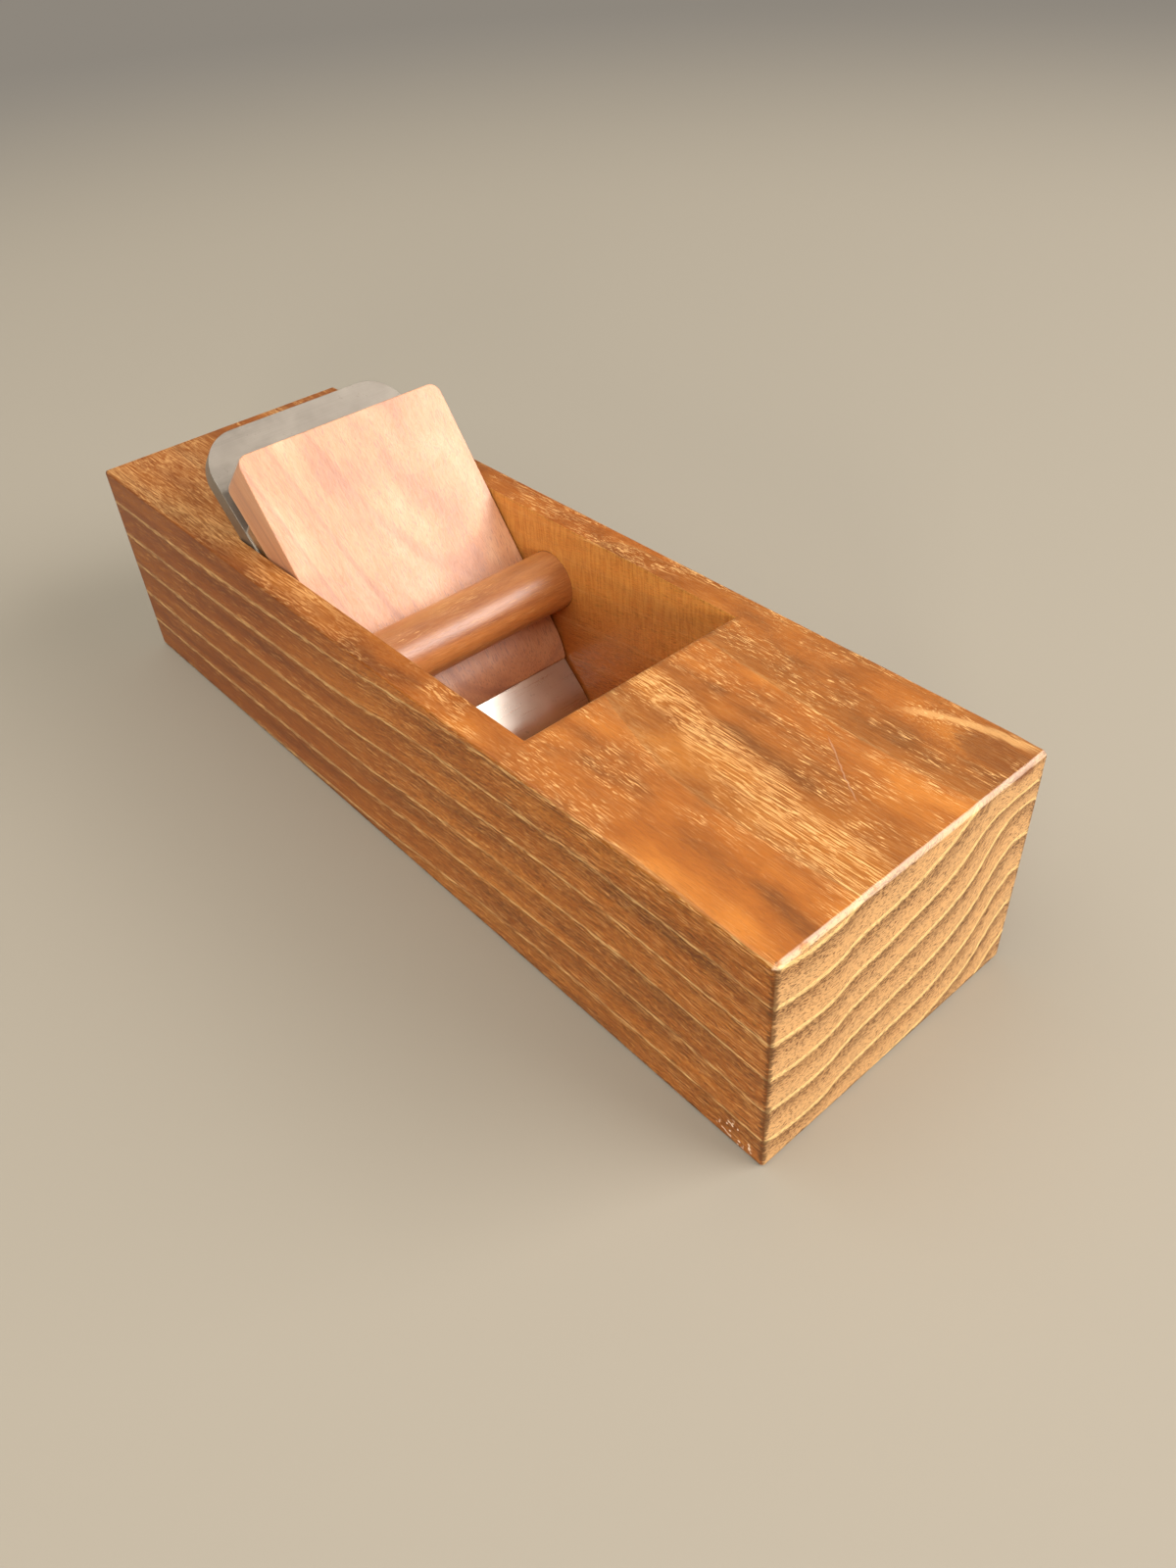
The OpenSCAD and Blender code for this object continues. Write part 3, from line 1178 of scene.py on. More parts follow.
class GeometryTree(NodeTree):
    """Short ways to lay one Geometry Nodes tree with named inputs."""

    def __init__(self, name: str) -> None:
        """Starts an empty tree.

        Args:
            name: Name of the tree.
        """
        super().__init__(bpy.data.node_groups.new(name, "GeometryNodeTree"))
        self.tree.interface.new_socket("Geometry", in_out="OUTPUT", socket_type="NodeSocketGeometry")
        self.start = self.tree.nodes.new("NodeGroupInput")
        self.values: dict[str, object] = {}

    def size(self, name: str, value: object, kind: str = "Float") -> Output:
        """Adds a named input and says what it is set to.

        Args:
            name: Name of the input.
            value: What the modifier sets it to, or None for the geometry that it fills by itself.
            kind: The socket's type, without the NodeSocket that it starts with.

        Returns:
            The output that carries the input inside the tree.
        """
        made = self.tree.interface.new_socket(name, in_out="INPUT", socket_type="NodeSocket" + kind)
        if value is not None:
            self.values[made.identifier] = value
        return Output(self, next(s for s in self.start.outputs if s.identifier == made.identifier))

    def noise(self, vector: Output, seed: Output, detail: float = 2.0) -> Output:
        """Gives a soft random pattern, with features one unit across, that a seed chooses."""
        inputs = {"Vector": vector, "W": seed, "Scale": 1.0, "Detail": detail}
        return self.node("ShaderNodeTexNoise", inputs, noise_dimensions="4D")

    def make(self, geometry: Output, finish: bpy.types.Material, base: bpy.types.Object) -> bpy.types.Object:
        """Ends the tree, runs it on an object and keeps the plain mesh that comes out.

        Args:
            geometry: The output that carries the finished shape.
            finish: The material that the shape gets.
            base: The object that the tree is run on.

        Returns:
            The same object.
        """
        material = self.size("Finish", finish, "Material")
        real = self.node("GeometryNodeRealizeInstances", {0: geometry})
        dressed = self.node("GeometryNodeSetMaterial", {"Geometry": real, "Material": material})
        end = self.tree.nodes.new("NodeGroupOutput")
        self.join(dressed, end.inputs[0])
        change = base.modifiers.new(self.tree.name, "NODES")
        change.node_group = self.tree
        for identifier, value in self.values.items():
            change[identifier] = value
        settle(base)
        return base


@dataclass
class Piece:
    """A visible piece of the plane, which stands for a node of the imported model."""

    layout: Layout

    def finish(self) -> bpy.types.Material:
        """Lays the piece's material."""
        raise NotImplementedError

    def shape(self, finish: bpy.types.Material) -> bpy.types.Object:
        """Builds the piece's mesh, in place. A tree in it ends by setting the material."""
        raise NotImplementedError

    def build(self, node: str, body: str, slot: str) -> None:
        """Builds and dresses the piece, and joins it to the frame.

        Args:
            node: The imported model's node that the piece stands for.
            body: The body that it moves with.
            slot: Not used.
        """
        finish = self.finish()
        made = self.shape(finish)
        made.data.materials.clear()
        made.data.materials.append(finish)
        smooth_shade(made)
        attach(made, body)
        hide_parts(node)
        LOG.info("%s stands for %s, with %d faces", made.name, node, len(made.data.polygons))


@dataclass
class BodyBlock(Piece):
    """The body: one eased block with the throat, the screw's groove and the pin's seat cut into it."""

    arris: float = 0.8 * MM
    arris_steps: int = 4
    toe_arris: float = 0.75 * MM
    toe_blend: tuple[float, float] = (6.0 * MM, 2.0 * MM)
    toe_calm: float = 0.75
    flatness: float = 0.75
    grid: float = FINE_GRID
    long_wave: float = 23.0 * MM
    unevenness: float = 0.03 * MM
    arris_waves: Outline = ((7.0 * MM, 0.22), (2.0 * MM, 0.14))
    throat_reach: float = 42.4 * MM
    throat_rows: int = 18
    throat_columns: int = 110
    mouth_opening: float = 0.9 * MM
    wear_height: float = 6.0 * MM
    wear_angle: float = math.radians(80)
    rim: float = 0.35 * MM
    rim_turn: float = 0.3
    mark_depth: float = 0.05 * MM
    mark_pitch: float = 0.9 * MM
    mark_run: float = 9.0
    mark_rest: float = 0.7
    mark_seed: float = 4.0
    groove_width: float = 19.0 * MM
    groove_depth: float = 4.15 * MM
    pin_fit: float = 0.06 * MM
    pin_seat_floor: float = 2.2 * MM
    round_steps: int = 96

    def stations(self, half: float) -> list[float]:
        """Places the grid lines across one face, close together where the arris rounds over.

        Args:
            half: Half the face's size.

        Returns:
            The places of the lines, from one side to the other.
        """
        ease, steps = self.toe_arris, self.arris_steps
        inner = half - ease
        turn = [inner + ease * math.tan(math.radians(45) * i / steps) for i in range(steps + 1)]
        flat = np.linspace(-inner, inner, max(2, round(2 * inner / self.grid)) + 1)[1:-1]
        return [-t for t in reversed(turn)] + list(flat) + turn

    def eased(self, spot: Vector, half: Vector) -> Vector:
        """Moves a point of the sharp block onto the eased one.

        Args:
            spot: The point on the sharp block, about its middle.
            half: Half the block's size.

        Returns:
            The point on the eased block, about its middle.
        """
        start, end = self.toe_blend
        near_toe = smooth_step(spot.x, half.x - start, half.x - end)
        near_top = smooth_step(spot.z, half.z - start, half.z - end)
        share = near_toe * near_top
        ease = self.arris + (self.toe_arris - self.arris) * share
        waves = sum(height * noise.noise(spot / length) for length, height in self.arris_waves)
        ease = min(ease * (1 + (1 - self.toe_calm * share) * waves), self.toe_arris)
        inner = Vector([min(h - ease, max(ease - h, s)) for s, h in zip(spot, half)])
        out = (spot - inner).normalized()
        flat = self.flatness * share
        reach = ease * (1 - flat + flat / sum(abs(c) for c in out))
        hollow = abs(noise.noise(spot / self.long_wave)) * self.unevenness
        return inner + out * (reach - hollow)

    def block(self) -> bmesh.types.BMesh:
        """Makes the eased block before anything is cut out of it.

        Returns:
            The block as a closed solid.
        """
        half = Vector((self.layout.length, self.layout.width, self.layout.height)) / 2
        lines = [self.stations(h) for h in half]
        lift = Vector((0, 0, half.z))
        bm = bmesh.new()
        known: dict[tuple, bmesh.types.BMVert] = {}

        def vertex(spot: Vector) -> bmesh.types.BMVert:
            """Gives the vertex at a point, which faces share along the arrises."""
            key = tuple(round(c / MM, 5) for c in spot)
            if key not in known:
                known[key] = bm.verts.new(self.eased(spot, half) + lift)
            return known[key]

        for axis in range(3):
            a, b = (axis + 1) % 3, (axis + 2) % 3
            for side in (-1, 1):
                rows = []
                for u in lines[a]:
                    row = []
                    for v in lines[b]:
                        spot = Vector((0, 0, 0))
                        spot[axis], spot[a], spot[b] = side * half[axis], u, v
                        row.append(vertex(spot))
                    rows.append(row)
                for first, second in zip(rows, rows[1:]):
                    for i in range(len(first) - 1):
                        bm.faces.new((first[i], second[i], second[i + 1], first[i + 1]))
        return bm

    def throat_section(self, level: float, flare: float) -> tuple[float, float, float]:
        """Gives the throat's opening at one level.

        Args:
            level: Height above the sole.
            flare: How much wider the opening is made on every side.

        Returns:
            The back, the front and half the width of the opening.
        """
        lay = self.layout
        mouth = lay.edge_x + self.mouth_opening
        wear_top = mouth + self.wear_height / math.tan(self.wear_angle)
        back = lay.foot_x - level / math.tan(lay.bed_angle)
        if level <= self.wear_height:
            front = mouth + max(0.0, level) / math.tan(self.wear_angle)
        else:
            share = (level - self.wear_height) / (lay.height - self.wear_height)
            front = wear_top + share * (lay.edge_x + self.throat_reach - wear_top)
        return back - flare, front + flare, lay.throat_half + flare

    def throat_plug(self) -> bmesh.types.BMesh:
        """Makes the solid that fills the throat, with a light ease at its rims.

        Returns:
            The plug, whose cheek walls have close upright grid lines for the tool marks.
        """
        height, rim, low, count = self.layout.height, self.rim, self.wear_height, self.throat_rows
        levels = [(-OVER, 0.0), (0.0, 0.0), (low, 0.0)]
        levels += [(low + (height - rim - low) * i / count, 0.0) for i in range(1, count + 1)]
        turn = self.rim_turn * rim
        levels += [(height - turn, turn), (height, rim), (height + OVER, rim + OVER)]
        columns = self.throat_columns
        sections = []
        for level, flare in levels:
            back, front, half = self.throat_section(level, flare)
            run = [back + (front - back) * i / columns for i in range(columns + 1)]
            near = [Vector((x, -half, level)) for x in run]
            far = [Vector((x, half, level)) for x in reversed(run)]
            sections.append(near + far)
        return loft(sections)

    def marked(self, plug: bpy.types.Object, finish: bpy.types.Material) -> bpy.types.Object:
        """Gives the plug's cheek walls the upright marks of the tool that cleaned them.

        Args:
            plug: The plug.
            finish: The material that the tree ends with.

        Returns:
            The same plug, with its walls moved in and out a little.
        """
        tree = GeometryTree("Pared walls")
        source = tree.size("Geometry", None, "Geometry")
        depth = tree.size("Mark Depth", self.mark_depth)
        pitch = tree.size("Mark Pitch", self.mark_pitch)
        rim_level = tree.size("Rim Level", self.layout.height - 2 * self.rim)
        seed = tree.size("Seed", self.mark_seed)
        x, y, z = tree.parts(tree.node("GeometryNodeInputPosition"))
        side = tree.math("SIGN", y)
        pattern = tree.noise(tree.joined(x / pitch, side, z / (pitch * self.mark_run)), seed, 1.0)
        push = tree.joined(y=(pattern - self.mark_rest) * depth * side)
        below = {0: z, 1: rim_level}
        inside = tree.node("FunctionNodeCompare", below, data_type="FLOAT", operation="LESS_THAN")
        inputs = {"Geometry": source, "Selection": inside, "Offset": push}
        return tree.make(tree.node("GeometryNodeSetPosition", inputs), finish, plug)

    def groove_cutter(self) -> bpy.types.Object:
        """Makes the solid that cuts the groove for the screw's head.

        Returns:
            The cutter, with a round lower end.
        """
        radius = self.groove_width / 2
        low = self.layout.edge_up + self.layout.screw_station
        high = (self.layout.height + OVER) / math.sin(self.layout.bed_angle) + radius
        end = arc((low, 0.0), radius, 270, 90, self.round_steps // 2)
        outline = [(high, -radius), *end, (high, radius)]
        return make_object("groove", plate(outline, -self.groove_depth, OVER), self.layout.bed())

    def seat_cutter(self) -> bpy.types.Object:
        """Makes the solid that drills the pin's seat.

        Returns:
            The cutter, which ends inside the left cheek and goes right through the other.
        """
        low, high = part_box("cross_pin")
        middle = (low + high) / 2
        radius = (high.z - low.z) / 2 + self.pin_fit
        ring = circle((middle.x, middle.z), radius, self.round_steps)
        half = self.layout.width / 2
        ends = (self.pin_seat_floor - self.pin_fit - half, half + OVER)
        return make_object("seat", loft([[Vector((x, y, z)) for x, z in ring] for y in ends]))

    def finish(self) -> bpy.types.Material:
        """Lays the body's wood."""
        return BlockWood("body_wood", Grain.ALONG_BODY, heel_lines=0.65, fleck_share=(0.6, 0.0, 0.0)).build()

    def shape(self, finish: bpy.types.Material) -> bpy.types.Object:
        """Builds the body's mesh, in place.

        Args:
            finish: The body's material.

        Returns:
            The body.
        """
        made = make_object("body_block", self.block())
        cut(made, self.marked(make_object("throat_plug", self.throat_plug()), finish))
        cut(made, self.groove_cutter())
        cut(made, self.seat_cutter())
        return made


@dataclass
class CrossPin(Piece):
    """The round pin, shaved by hand, whose ends are eased where they go into the cheeks."""

    ease: float = 0.9 * MM
    ease_depth: float = 0.66
    shaving: float = 0.05 * MM
    flats_around: float = 3.0
    flats_along: float = 55.0
    shaving_seed: float = 7.0
    sides: int = 96
    rings: int = 110

    def finish(self) -> bpy.types.Material:
        """Lays the pin's wood.

        Returns:
            The material.
        """
        return BilletWood(
            "pin_wood", Grain.ALONG_PIN, deep="8e4c20", middle="b67036", golden="d2924e",
            dash="e8b374", line="cf9050", dark="46200c",
            line_share=(0.25, 0.15, 0.85), dash_share=(0.6, 0.6, 0.15), dark_share=(0.45, 0.22, 0.1),
            painted_top_light=0.0, roughness=0.42, specular=0.5, coat=1.0, coat_roughness=0.36,
        ).build()

    def shape(self, finish: bpy.types.Material) -> bpy.types.Object:
        """Builds the pin's mesh with a tree, in place.

        Args:
            finish: The pin's material.

        Returns:
            The pin.
        """
        low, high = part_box("cross_pin")
        tree = GeometryTree("Shaved pin")
        radius = tree.size("Radius", (high.z - low.z) / 2)
        length = tree.size("Length", high.y - low.y)
        ease = tree.size("End Ease", self.ease)
        shaving = tree.size("Shaving Depth", self.shaving)
        seed = tree.size("Seed", self.shaving_seed)
        cylinder = {"Vertices": self.sides, "Side Segments": self.rings, "Radius": radius, "Depth": length}
        rod = tree.node("GeometryNodeMeshCylinder", cylinder)
        x, y, z = tree.parts(tree.node("GeometryNodeInputPosition"))
        share = 1 - tree.least((length / 2 - abs(z)) / ease, 1.0)
        drop = (1 - tree.math("SQRT", 1 - share * share)) * (ease * self.ease_depth / radius)
        around = tree.math("ARCTAN2", y, x) * self.flats_around
        pattern = tree.noise(tree.joined(around, z * self.flats_along), seed)
        scale = 1 - drop - shaving / radius * pattern
        spread = tree.joined(x * scale, y * scale, z)
        moved = tree.node("GeometryNodeSetPosition", {"Geometry": rod, "Position": spread})
        place = {"Geometry": moved, "Translation": (low + high) / 2, "Rotation": (-math.pi / 2, 0.0, 0.0)}
        turned = tree.node("GeometryNodeTransform", place)
        return tree.make(turned, finish, make_object("pin_dowel", bmesh.new()))


@dataclass
class WedgeBoard(Piece):
    """The wedge: a tapered board with a rounded tip and two clipped corners at its top end."""

    length: float = 66.5 * MM
    angle: float = math.radians(8.8)
    tip_station: float = 17.5 * MM
    tip_height: float = 2.6 * MM
    tip_flat: float = 0.6 * MM
    nose_radius: float = 15.0 * MM
    corner: float = 2.5 * MM
    corner_steps: int = 5
    arris: float = 0.45 * MM
    nose_steps: int = 16

    def outline(self) -> Outline:
        """Gives the wedge's outline seen from the side.

        Returns:
            The corners, as places up from the tip and off the underside.
        """
        cos, sin = math.cos(self.angle), math.sin(self.angle)
        drop = (self.tip_height - self.tip_flat) * cos
        run = math.sqrt(2 * self.nose_radius * drop - drop * drop)
        lean = math.degrees(self.angle)
        centre = (
            run * cos - (drop - self.nose_radius) * sin,
            self.tip_flat + run * sin + (drop - self.nose_radius) * cos,
        )
        start = 90 + math.degrees(math.asin(run / self.nose_radius)) + lean
        nose = arc(centre, self.nose_radius, start, 90 + lean, self.nose_steps)
        top = (self.length, self.tip_height + self.length * math.tan(self.angle))
        return [(0.0, 0.0), *nose, top, (self.length, 0.0)]

    def finish(self) -> bpy.types.Material:
        """Lays the wedge's wood.

        Returns:
            The material.
        """
        return BilletWood(
            "wedge_wood", Grain.UP_THE_BED, deep="b47c5c", middle="cb9068", golden="d9aa84",
            dash="e9c2a0", line="8a5a50", dark="7e5450", end_dark="8c5c34", end_light="dcab72",
            bow=0.016, shift=4.0, lean=0.25, ring_pitch=7.2, ring_shade=0.08,
            line_share=(0.4, 0.3, 0.85), dash_share=(0.3, 0.15, 0.15), dark_share=(0.5, 0.85, 0.1),
            pore_size=(9.0, 0.3, 0.3), band_size=(16.0, 0.75, 0.5),
            painted_top_light=0.0, roughness=0.46, specular=0.5, coat=0.5, coat_roughness=0.42,
        ).build()

    def shape(self, finish: bpy.types.Material) -> bpy.types.Object:
        """Builds the wedge's mesh, in place.

        Args:
            finish: The wedge's material.

        Returns:
            The wedge.
        """
        low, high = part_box("wedge")
        bm = bar(self.outline(), (high.y - low.y) / 2)
        clip_corners(bm, self.length, self.corner, self.corner_steps)
        ease_edges(bm, self.arris)
        lay = self.layout
        place = lay.bed(lay.edge_up + self.tip_station, lay.breaker_face + lay.seat_gap)
        return make_object("wedge_board", bm, place)


@dataclass
class PlaneIron(Piece):
    """The iron: a thick plate ground to an edge, with a slot that ends in a round hole."""

    length: float = 95.6 * MM
    corner_radius: float = 9.0 * MM
    bevel_angle: float = math.radians(30)
    slot_start: float = 31.0 * MM
    slot_width: float = 11.0 * MM
    keyhole_station: float = 62.0 * MM
    keyhole_diameter: float = 16.4 * MM
    arris: float = 0.6 * MM
    keen_end: float = 2.0 * MM
    round_steps: int = 72

    def finish(self) -> bpy.types.Material:
        """Lays the iron's steel."""
        return Steel("iron_steel", Grinding.CROSSWISE, bright="aaa296", dull="827b72", metal=0.8).build()

    def shape(self, finish: bpy.types.Material) -> bpy.types.Object:
        """Builds the iron's mesh, in place.

        Args:
            finish: The iron's material.

        Returns:
            The iron.
        """
        low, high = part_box("iron")
        half = (high.y - low.y) / 2
        corner, thick = self.corner_radius, self.layout.iron_thickness
        top = self.length - corner
        outline = [(0.0, half), (0.0, -half)]
        outline += arc((top, corner - half), corner, -90, 0, self.round_steps // 4)
        outline += arc((top, half - corner), corner, 0, 90, self.round_steps // 4)
        made = make_object("iron_blade", plate(outline, 0.0, thick))
        slope = thick / math.tan(self.bevel_angle)
        ground = [(0.0, thick), (slope * (1 + OVER / thick), -OVER), (-OVER, -OVER), (-OVER, thick)]
        slot_half = self.slot_width / 2
        slot = arc((self.slot_start + slot_half, 0.0), slot_half, 90, 270, self.round_steps // 2)
        slot += [(self.keyhole_station, -slot_half), (self.keyhole_station, slot_half)]
        hole = circle((self.keyhole_station, 0.0), self.keyhole_diameter / 2, self.round_steps)
        cut(made, make_object("ground", bar(ground, half + OVER)))
        cut(made, make_object("slot", plate(slot, -OVER, thick + OVER)))
        cut(made, make_object("hole", plate(hole, -OVER, thick + OVER)))
        bm = take_solid(made)
        bmesh.ops.dissolve_limit(bm, angle_limit=math.radians(0.5), verts=bm.verts[:], edges=bm.edges[:])
        ease_edges(bm, self.arris, wanted=lambda e: any(v.co.x > self.keen_end for v in e.verts))
        return make_object("iron_blade", bm, self.layout.bed(self.layout.edge_up, self.layout.seat_gap))


@dataclass
class BreakerPlate(Piece):
    """The chipbreaker: a thinner plate whose nose curves down to the iron."""

    length: float = 73.8 * MM
    setback: float = 1.2 * MM
    nose_length: float = 9.0 * MM
    nose_tip: float = 0.3 * MM
    corner: float = 1.5 * MM
    corner_steps: int = 4
    arris: float = 0.3 * MM
    hole_diameter: float = 8.1 * MM
    nose_steps: int = 20
    round_steps: int = 72

    def finish(self) -> bpy.types.Material:
        """Lays the chipbreaker's brighter steel."""
        return Steel(
            "breaker_steel", Grinding.CROSSWISE, bright="efe9e0", dull="c2bcb3", roughness=0.25, brushing=0.25
        ).build()

    def shape(self, finish: bpy.types.Material) -> bpy.types.Object:
        """Builds the chipbreaker's mesh, in place.

        Args:
            finish: The chipbreaker's material.

        Returns:
            The chipbreaker.
        """
        low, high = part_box("chipbreaker")
        half, thick = (high.y - low.y) / 2, self.layout.breaker_thickness
        drop = thick - self.nose_tip
        radius = (self.nose_length**2 + drop**2) / (2 * drop)
        lean = math.degrees(math.asin(self.nose_length / radius))
        nose = arc((self.nose_length, thick - radius), radius, 90 + lean, 90, self.nose_steps)
        bm = bar([(0.0, 0.0), *nose, (self.length, thick), (self.length, 0.0)], half)
        clip_corners(bm, self.length, self.corner, self.corner_steps)
        ease_edges(bm, self.arris, wanted=lambda e: any(v.co.x > self.nose_length for v in e.verts))
        made = make_object("breaker_plate", bm)
        centre = (self.layout.screw_station - self.setback, 0.0)
        hole = circle(centre, self.hole_diameter / 2, self.round_steps)
        cut(made, make_object("hole", plate(hole, -OVER, thick + OVER)))
        lay = self.layout
        place = lay.bed(lay.edge_up + self.setback, lay.iron_face + lay.seat_gap)
        return make_object("breaker_plate", take_solid(made), place)


@dataclass
class SlottedScrew(Piece):
    """The screw that holds the chipbreaker to the iron: a flat slotted head and a threaded shank."""

    head_diameter: float = 15.0 * MM
    head_height: float = 3.2 * MM
    shank_diameter: float = 8.0 * MM
    shank_recess: float = 0.2 * MM
    slot_width: float = 1.6 * MM
    slot_depth: float = 1.5 * MM
    thread_pitch: float = 1.25 * MM
    thread_depth: float = 0.35 * MM
    thread_overlap: float = 1.02
    thread_steps: int = 32
    thread_sides: int = 6
    arris: float = 0.4 * MM
    head_steps: int = 72
    shank_steps: int = 48

    def finish(self) -> bpy.types.Material:
        """Lays the screw's steel."""
        return Steel(
            "screw_steel", Grinding.LENGTHWISE, bright="8f8b85", dull="66625d", roughness=0.4
        ).build()

    def head(self) -> bmesh.types.BMesh:
        """Makes the slotted head, standing on the ground.

        Returns:
            The head as a closed solid.
        """
        bm = plate(circle((0.0, 0.0), self.head_diameter / 2, self.head_steps), 0.0, self.head_height)
        ease_edges(bm, self.arris)
        made = make_object("head", bm)
        reach, half = self.head_diameter, self.slot_width / 2
        slot = [(-reach, -half), (reach, -half), (reach, half), (-reach, half)]
        cut(made, make_object("driver_slot", plate(slot, -OVER, self.slot_depth)))
        return take_solid(made)

    def shank(self, finish: bpy.types.Material) -> bmesh.types.BMesh:
        """Makes the shank and its thread with a tree, standing on the ground.

        Args:
            finish: The screw's material.

        Returns:
            The shank as closed solids.
        """
        tree = GeometryTree("Threaded shank")
        radius = tree.size("Radius", self.shank_diameter / 2)
        depth = tree.size("Thread Depth", self.thread_depth)
        pitch = tree.size("Thread Pitch", self.thread_pitch)
        rise = tree.size("Length", self.layout.breaker_face - self.shank_recess)
        cylinder = {"Vertices": self.shank_steps, "Side Segments": 1, "Radius": radius - depth, "Depth": rise}
        rod = tree.node("GeometryNodeMeshCylinder", cylinder)
        run = rise - pitch
        middle = radius - depth * self.thread_overlap
        spiral = {"Resolution": self.thread_steps, "Rotations": run / pitch, "Height": run}
        path = tree.node("GeometryNodeCurveSpiral", {**spiral, "Start Radius": middle, "End Radius": middle})
        section = {"Resolution": self.thread_sides, "Radius": depth}
        profile = tree.node("GeometryNodeCurvePrimitiveCircle", section)
        swept = {"Curve": path, "Profile Curve": profile, "Fill Caps": True}
        ridge = tree.node("GeometryNodeCurveToMesh", swept)
        both = tree.node("GeometryNodeJoinGeometry")
        for part, lift in ((ridge, pitch / 2), (rod, rise / 2)):
            place = {"Geometry": part, "Translation": tree.joined(z=lift)}
            tree.join(tree.node("GeometryNodeTransform", place), both.socket.node.inputs[0])
        return take_solid(tree.make(both, finish, make_object("shank", bmesh.new())))

    def shape(self, finish: bpy.types.Material) -> bpy.types.Object:
        """Builds the screw's mesh, in place.

        Args:
            finish: The screw's material.

        Returns:
            The screw.
        """
        joined = bmesh.new()
        for part, lift in ((self.head(), 0.0), (self.shank(finish), self.head_height)):
            raised = Matrix.Translation((0.0, 0.0, lift))
            held = make_object("screw_part", part, raised)
            joined.from_mesh(held.data)
            bpy.data.objects.remove(held)
        place = self.layout.bed(self.layout.edge_up + self.layout.screw_station, -self.head_height)
        return make_object("slotted_screw", joined, place)


@dataclass(frozen=True)
class SoftLight:
    """A flat soft light that hangs in one direction from the plane."""

    name: str
    direction: tuple[float, float, float]
    distance: float
    size: tuple[float, float]
    power: float
    colour: Colour

    def hang(self, aim: Vector) -> None:
        """Hangs the light and turns it towards a point.

        Args:
            aim: The point that it faces.
        """
        data = bpy.data.lights.new(self.name, "AREA")
        data.shape = "RECTANGLE"
        data.size, data.size_y = self.size
        data.energy = self.power
        data.color = self.colour
        lamp = bpy.data.objects.new(self.name, data)
        away = Vector(self.direction).normalized()
        lamp.location = aim + away * self.distance
        lamp.rotation_mode = "QUATERNION"
        lamp.rotation_quaternion = away.to_track_quat("Z", "Y")
        bpy.context.scene.collection.objects.link(lamp)


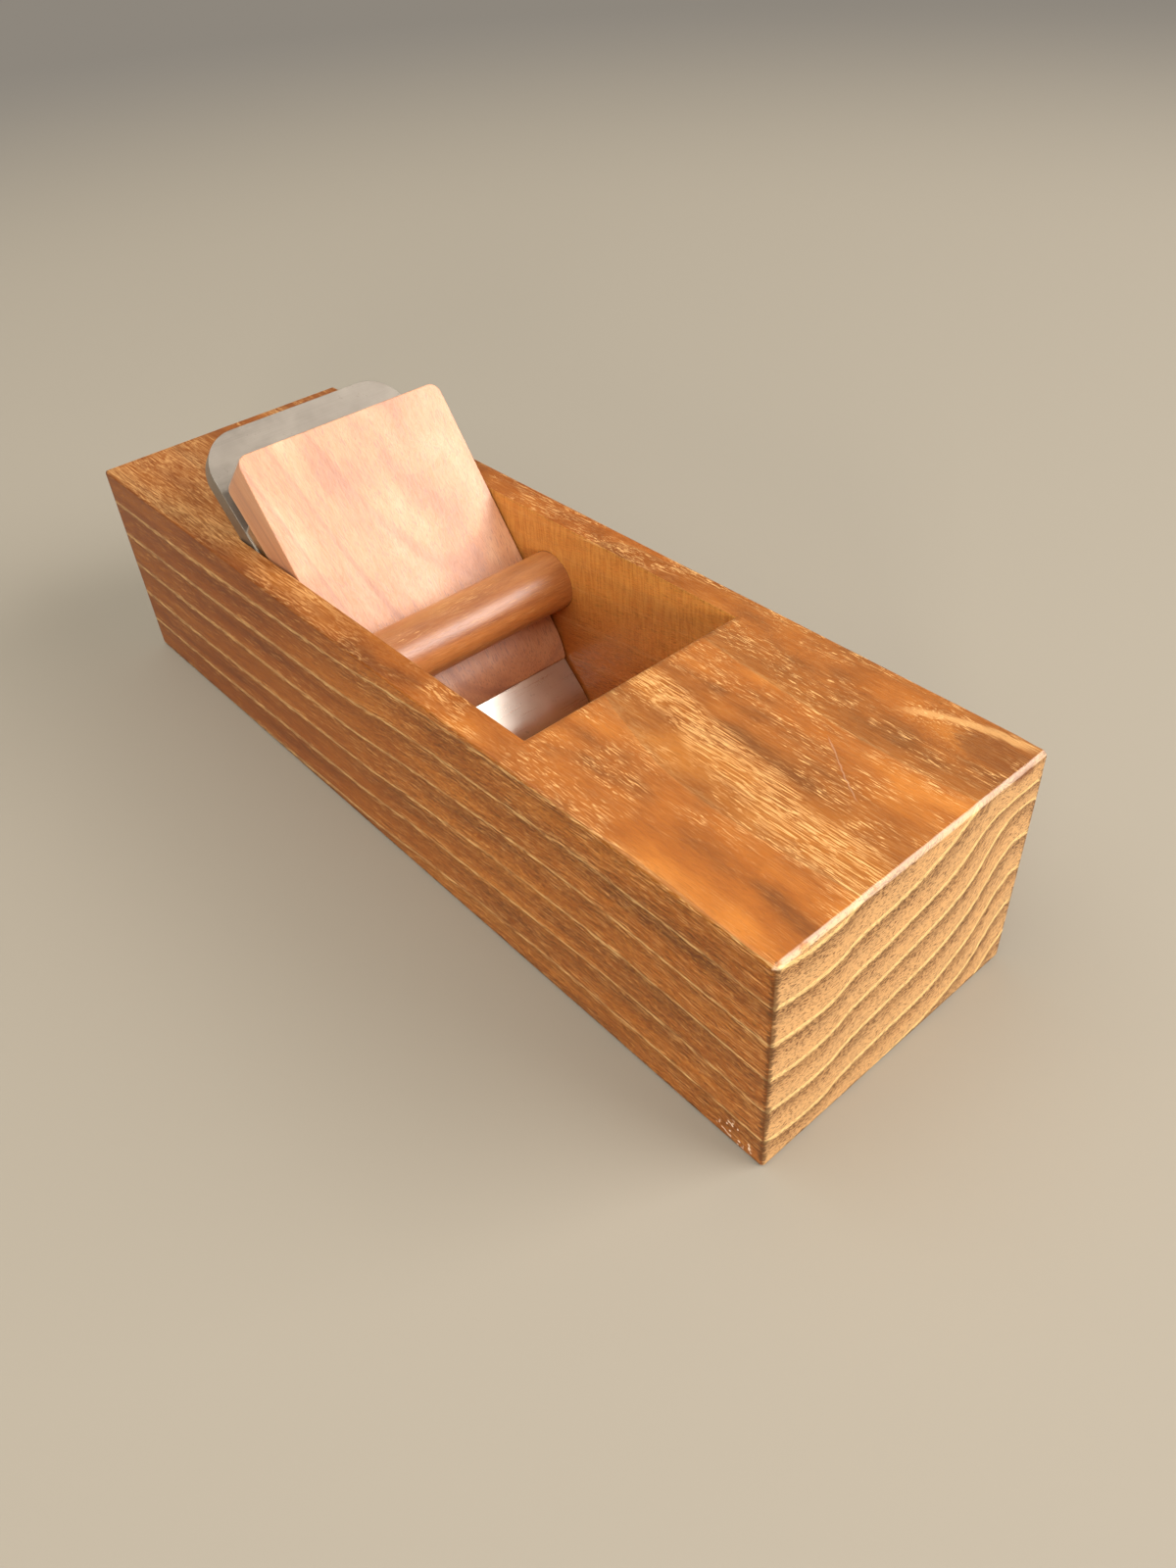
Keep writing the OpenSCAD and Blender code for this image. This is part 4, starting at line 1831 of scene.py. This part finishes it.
@dataclass(frozen=True)
class Studio:
    """A pale floor, soft lights and the camera, whose place and axes were fitted to the photograph."""

    floor_size: float = 12.0
    floor_tone: str = "9c9587"
    floor_roughness: float = 0.7
    floor_specular: float = 0.5
    floor_fade: tuple[float, float] = (0.4, 1.0)
    world_tone: str = "fff3e2"
    world_strength: float = 0.27
    aim: tuple[float, float, float] = (0.0, 0.0, 0.03)
    eye: tuple[float, float, float] = (0.17389, -0.11543, 0.17648)
    right: tuple[float, float, float] = (0.66021, 0.74895, -0.05667)
    down: tuple[float, float, float] = (0.46709, -0.46849, -0.74990)
    forward: tuple[float, float, float] = (-0.58818, 0.46862, -0.65912)
    focal_pixels: float = 1220.29
    frame_height: float = 1600.0
    sensor: float = 36.0
    nearest: float = 0.01
    lights: tuple[SoftLight, ...] = (
        SoftLight("window", (0.675, 0.528, 0.515), 1.8, (1.52, 1.0), 42.0, (1.0, 0.95, 0.92)),
        SoftLight("side_fill", (0.7, -0.68, 0.2), 1.6, (0.3, 0.3), 11.0, (1.0, 0.9, 0.76)),
        SoftLight("front_fill", (0.45, -0.6, 0.65), 2.0, (0.9, 0.9), 11.0, (1.0, 0.94, 0.86)),
        SoftLight("sky", (-0.2, -0.25, 1.0), 2.4, (2.6, 2.4), 44.0, (1.0, 0.97, 0.93)),
    )

    def floor_finish(self) -> bpy.types.Material:
        """Lays the floor's finish, which fades into the background away from the plane.

        Returns:
            The material.
        """
        shader = Shader("floor")
        place = shader.node("ShaderNodeTexCoord", out="Object")
        away = shader.node("ShaderNodeVectorMath", {0: place}, "Value", operation="LENGTH")
        fade = shader.rise(away, *self.floor_fade)
        return shader.finish({
            "Base Color": shader.mix(fade, self.floor_tone, "000000"),
            "Emission Color": self.world_tone,
            "Emission Strength": fade * self.world_strength,
            "Specular IOR Level": (1 - fade) * self.floor_specular,
            "Roughness": self.floor_roughness,
        })

    def lay_floor(self) -> None:
        """Lays the floor."""
        half = self.floor_size / 2
        bm = bmesh.new()
        corners = ((-half, -half), (half, -half), (half, half), (-half, half))
        bm.faces.new([bm.verts.new((x, y, 0.0)) for x, y in corners])
        floor = make_object("floor", bm)
        floor.data.materials.append(self.floor_finish())
        floor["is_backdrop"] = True

    def light_world(self) -> None:
        """Lights the background."""
        world = bpy.data.worlds.new("studio")
        world.use_nodes = True
        background = world.node_tree.nodes["Background"]
        background.inputs["Color"].default_value = (*tone(self.world_tone), 1.0)
        background.inputs["Strength"].default_value = self.world_strength
        bpy.context.scene.world = world

    def place_camera(self) -> None:
        """Places the camera as the photograph's was."""
        data = bpy.data.cameras.new("camera")
        data.sensor_width = self.sensor
        data.lens = self.focal_pixels * self.sensor / self.frame_height
        data.clip_start = self.nearest
        camera = bpy.data.objects.new("camera", data)
        turn = Matrix((self.right, [-c for c in self.down], [-c for c in self.forward])).transposed()
        camera.matrix_world = Matrix.Translation(self.eye) @ turn.to_4x4()
        bpy.context.scene.collection.objects.link(camera)
        bpy.context.scene.camera = camera

    def build(self) -> None:
        """Sets the stage, the lights and the camera."""
        self.lay_floor()
        self.light_world()
        for light in self.lights:
            light.hang(Vector(self.aim))
        self.place_camera()
        bpy.context.scene.view_settings.view_transform = "Standard"


def write_sizes(before: tuple[Vector, Vector]) -> None:
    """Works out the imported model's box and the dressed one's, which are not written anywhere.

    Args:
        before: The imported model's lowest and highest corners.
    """
    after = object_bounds()
    boxes = {name: [list(corner) for corner in box] for name, box in (("cad", before), ("visual", after))}


def main() -> None:
    """Builds the studio and every piece of the plane, and reports each piece."""
    logging.basicConfig(level=logging.INFO, format="%(message)s")
    packed_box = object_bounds()
    Studio().build()
    layout = Layout.from_frame()
    BodyBlock(layout, grid=FINE_GRID).build("plane_body", "plane", "body_wood")
    CrossPin(layout).build("cross_pin", "pin", "pin_wood")
    WedgeBoard(layout).build("wedge", "wedge", "wedge_wood")
    PlaneIron(layout).build("iron", "iron", "iron_steel")
    BreakerPlate(layout).build("chipbreaker", "breaker", "breaker_steel")
    SlottedScrew(layout).build("breaker_screw", "screw", "screw_steel")
    write_sizes(packed_box)


if __name__ == "__main__":
    main()
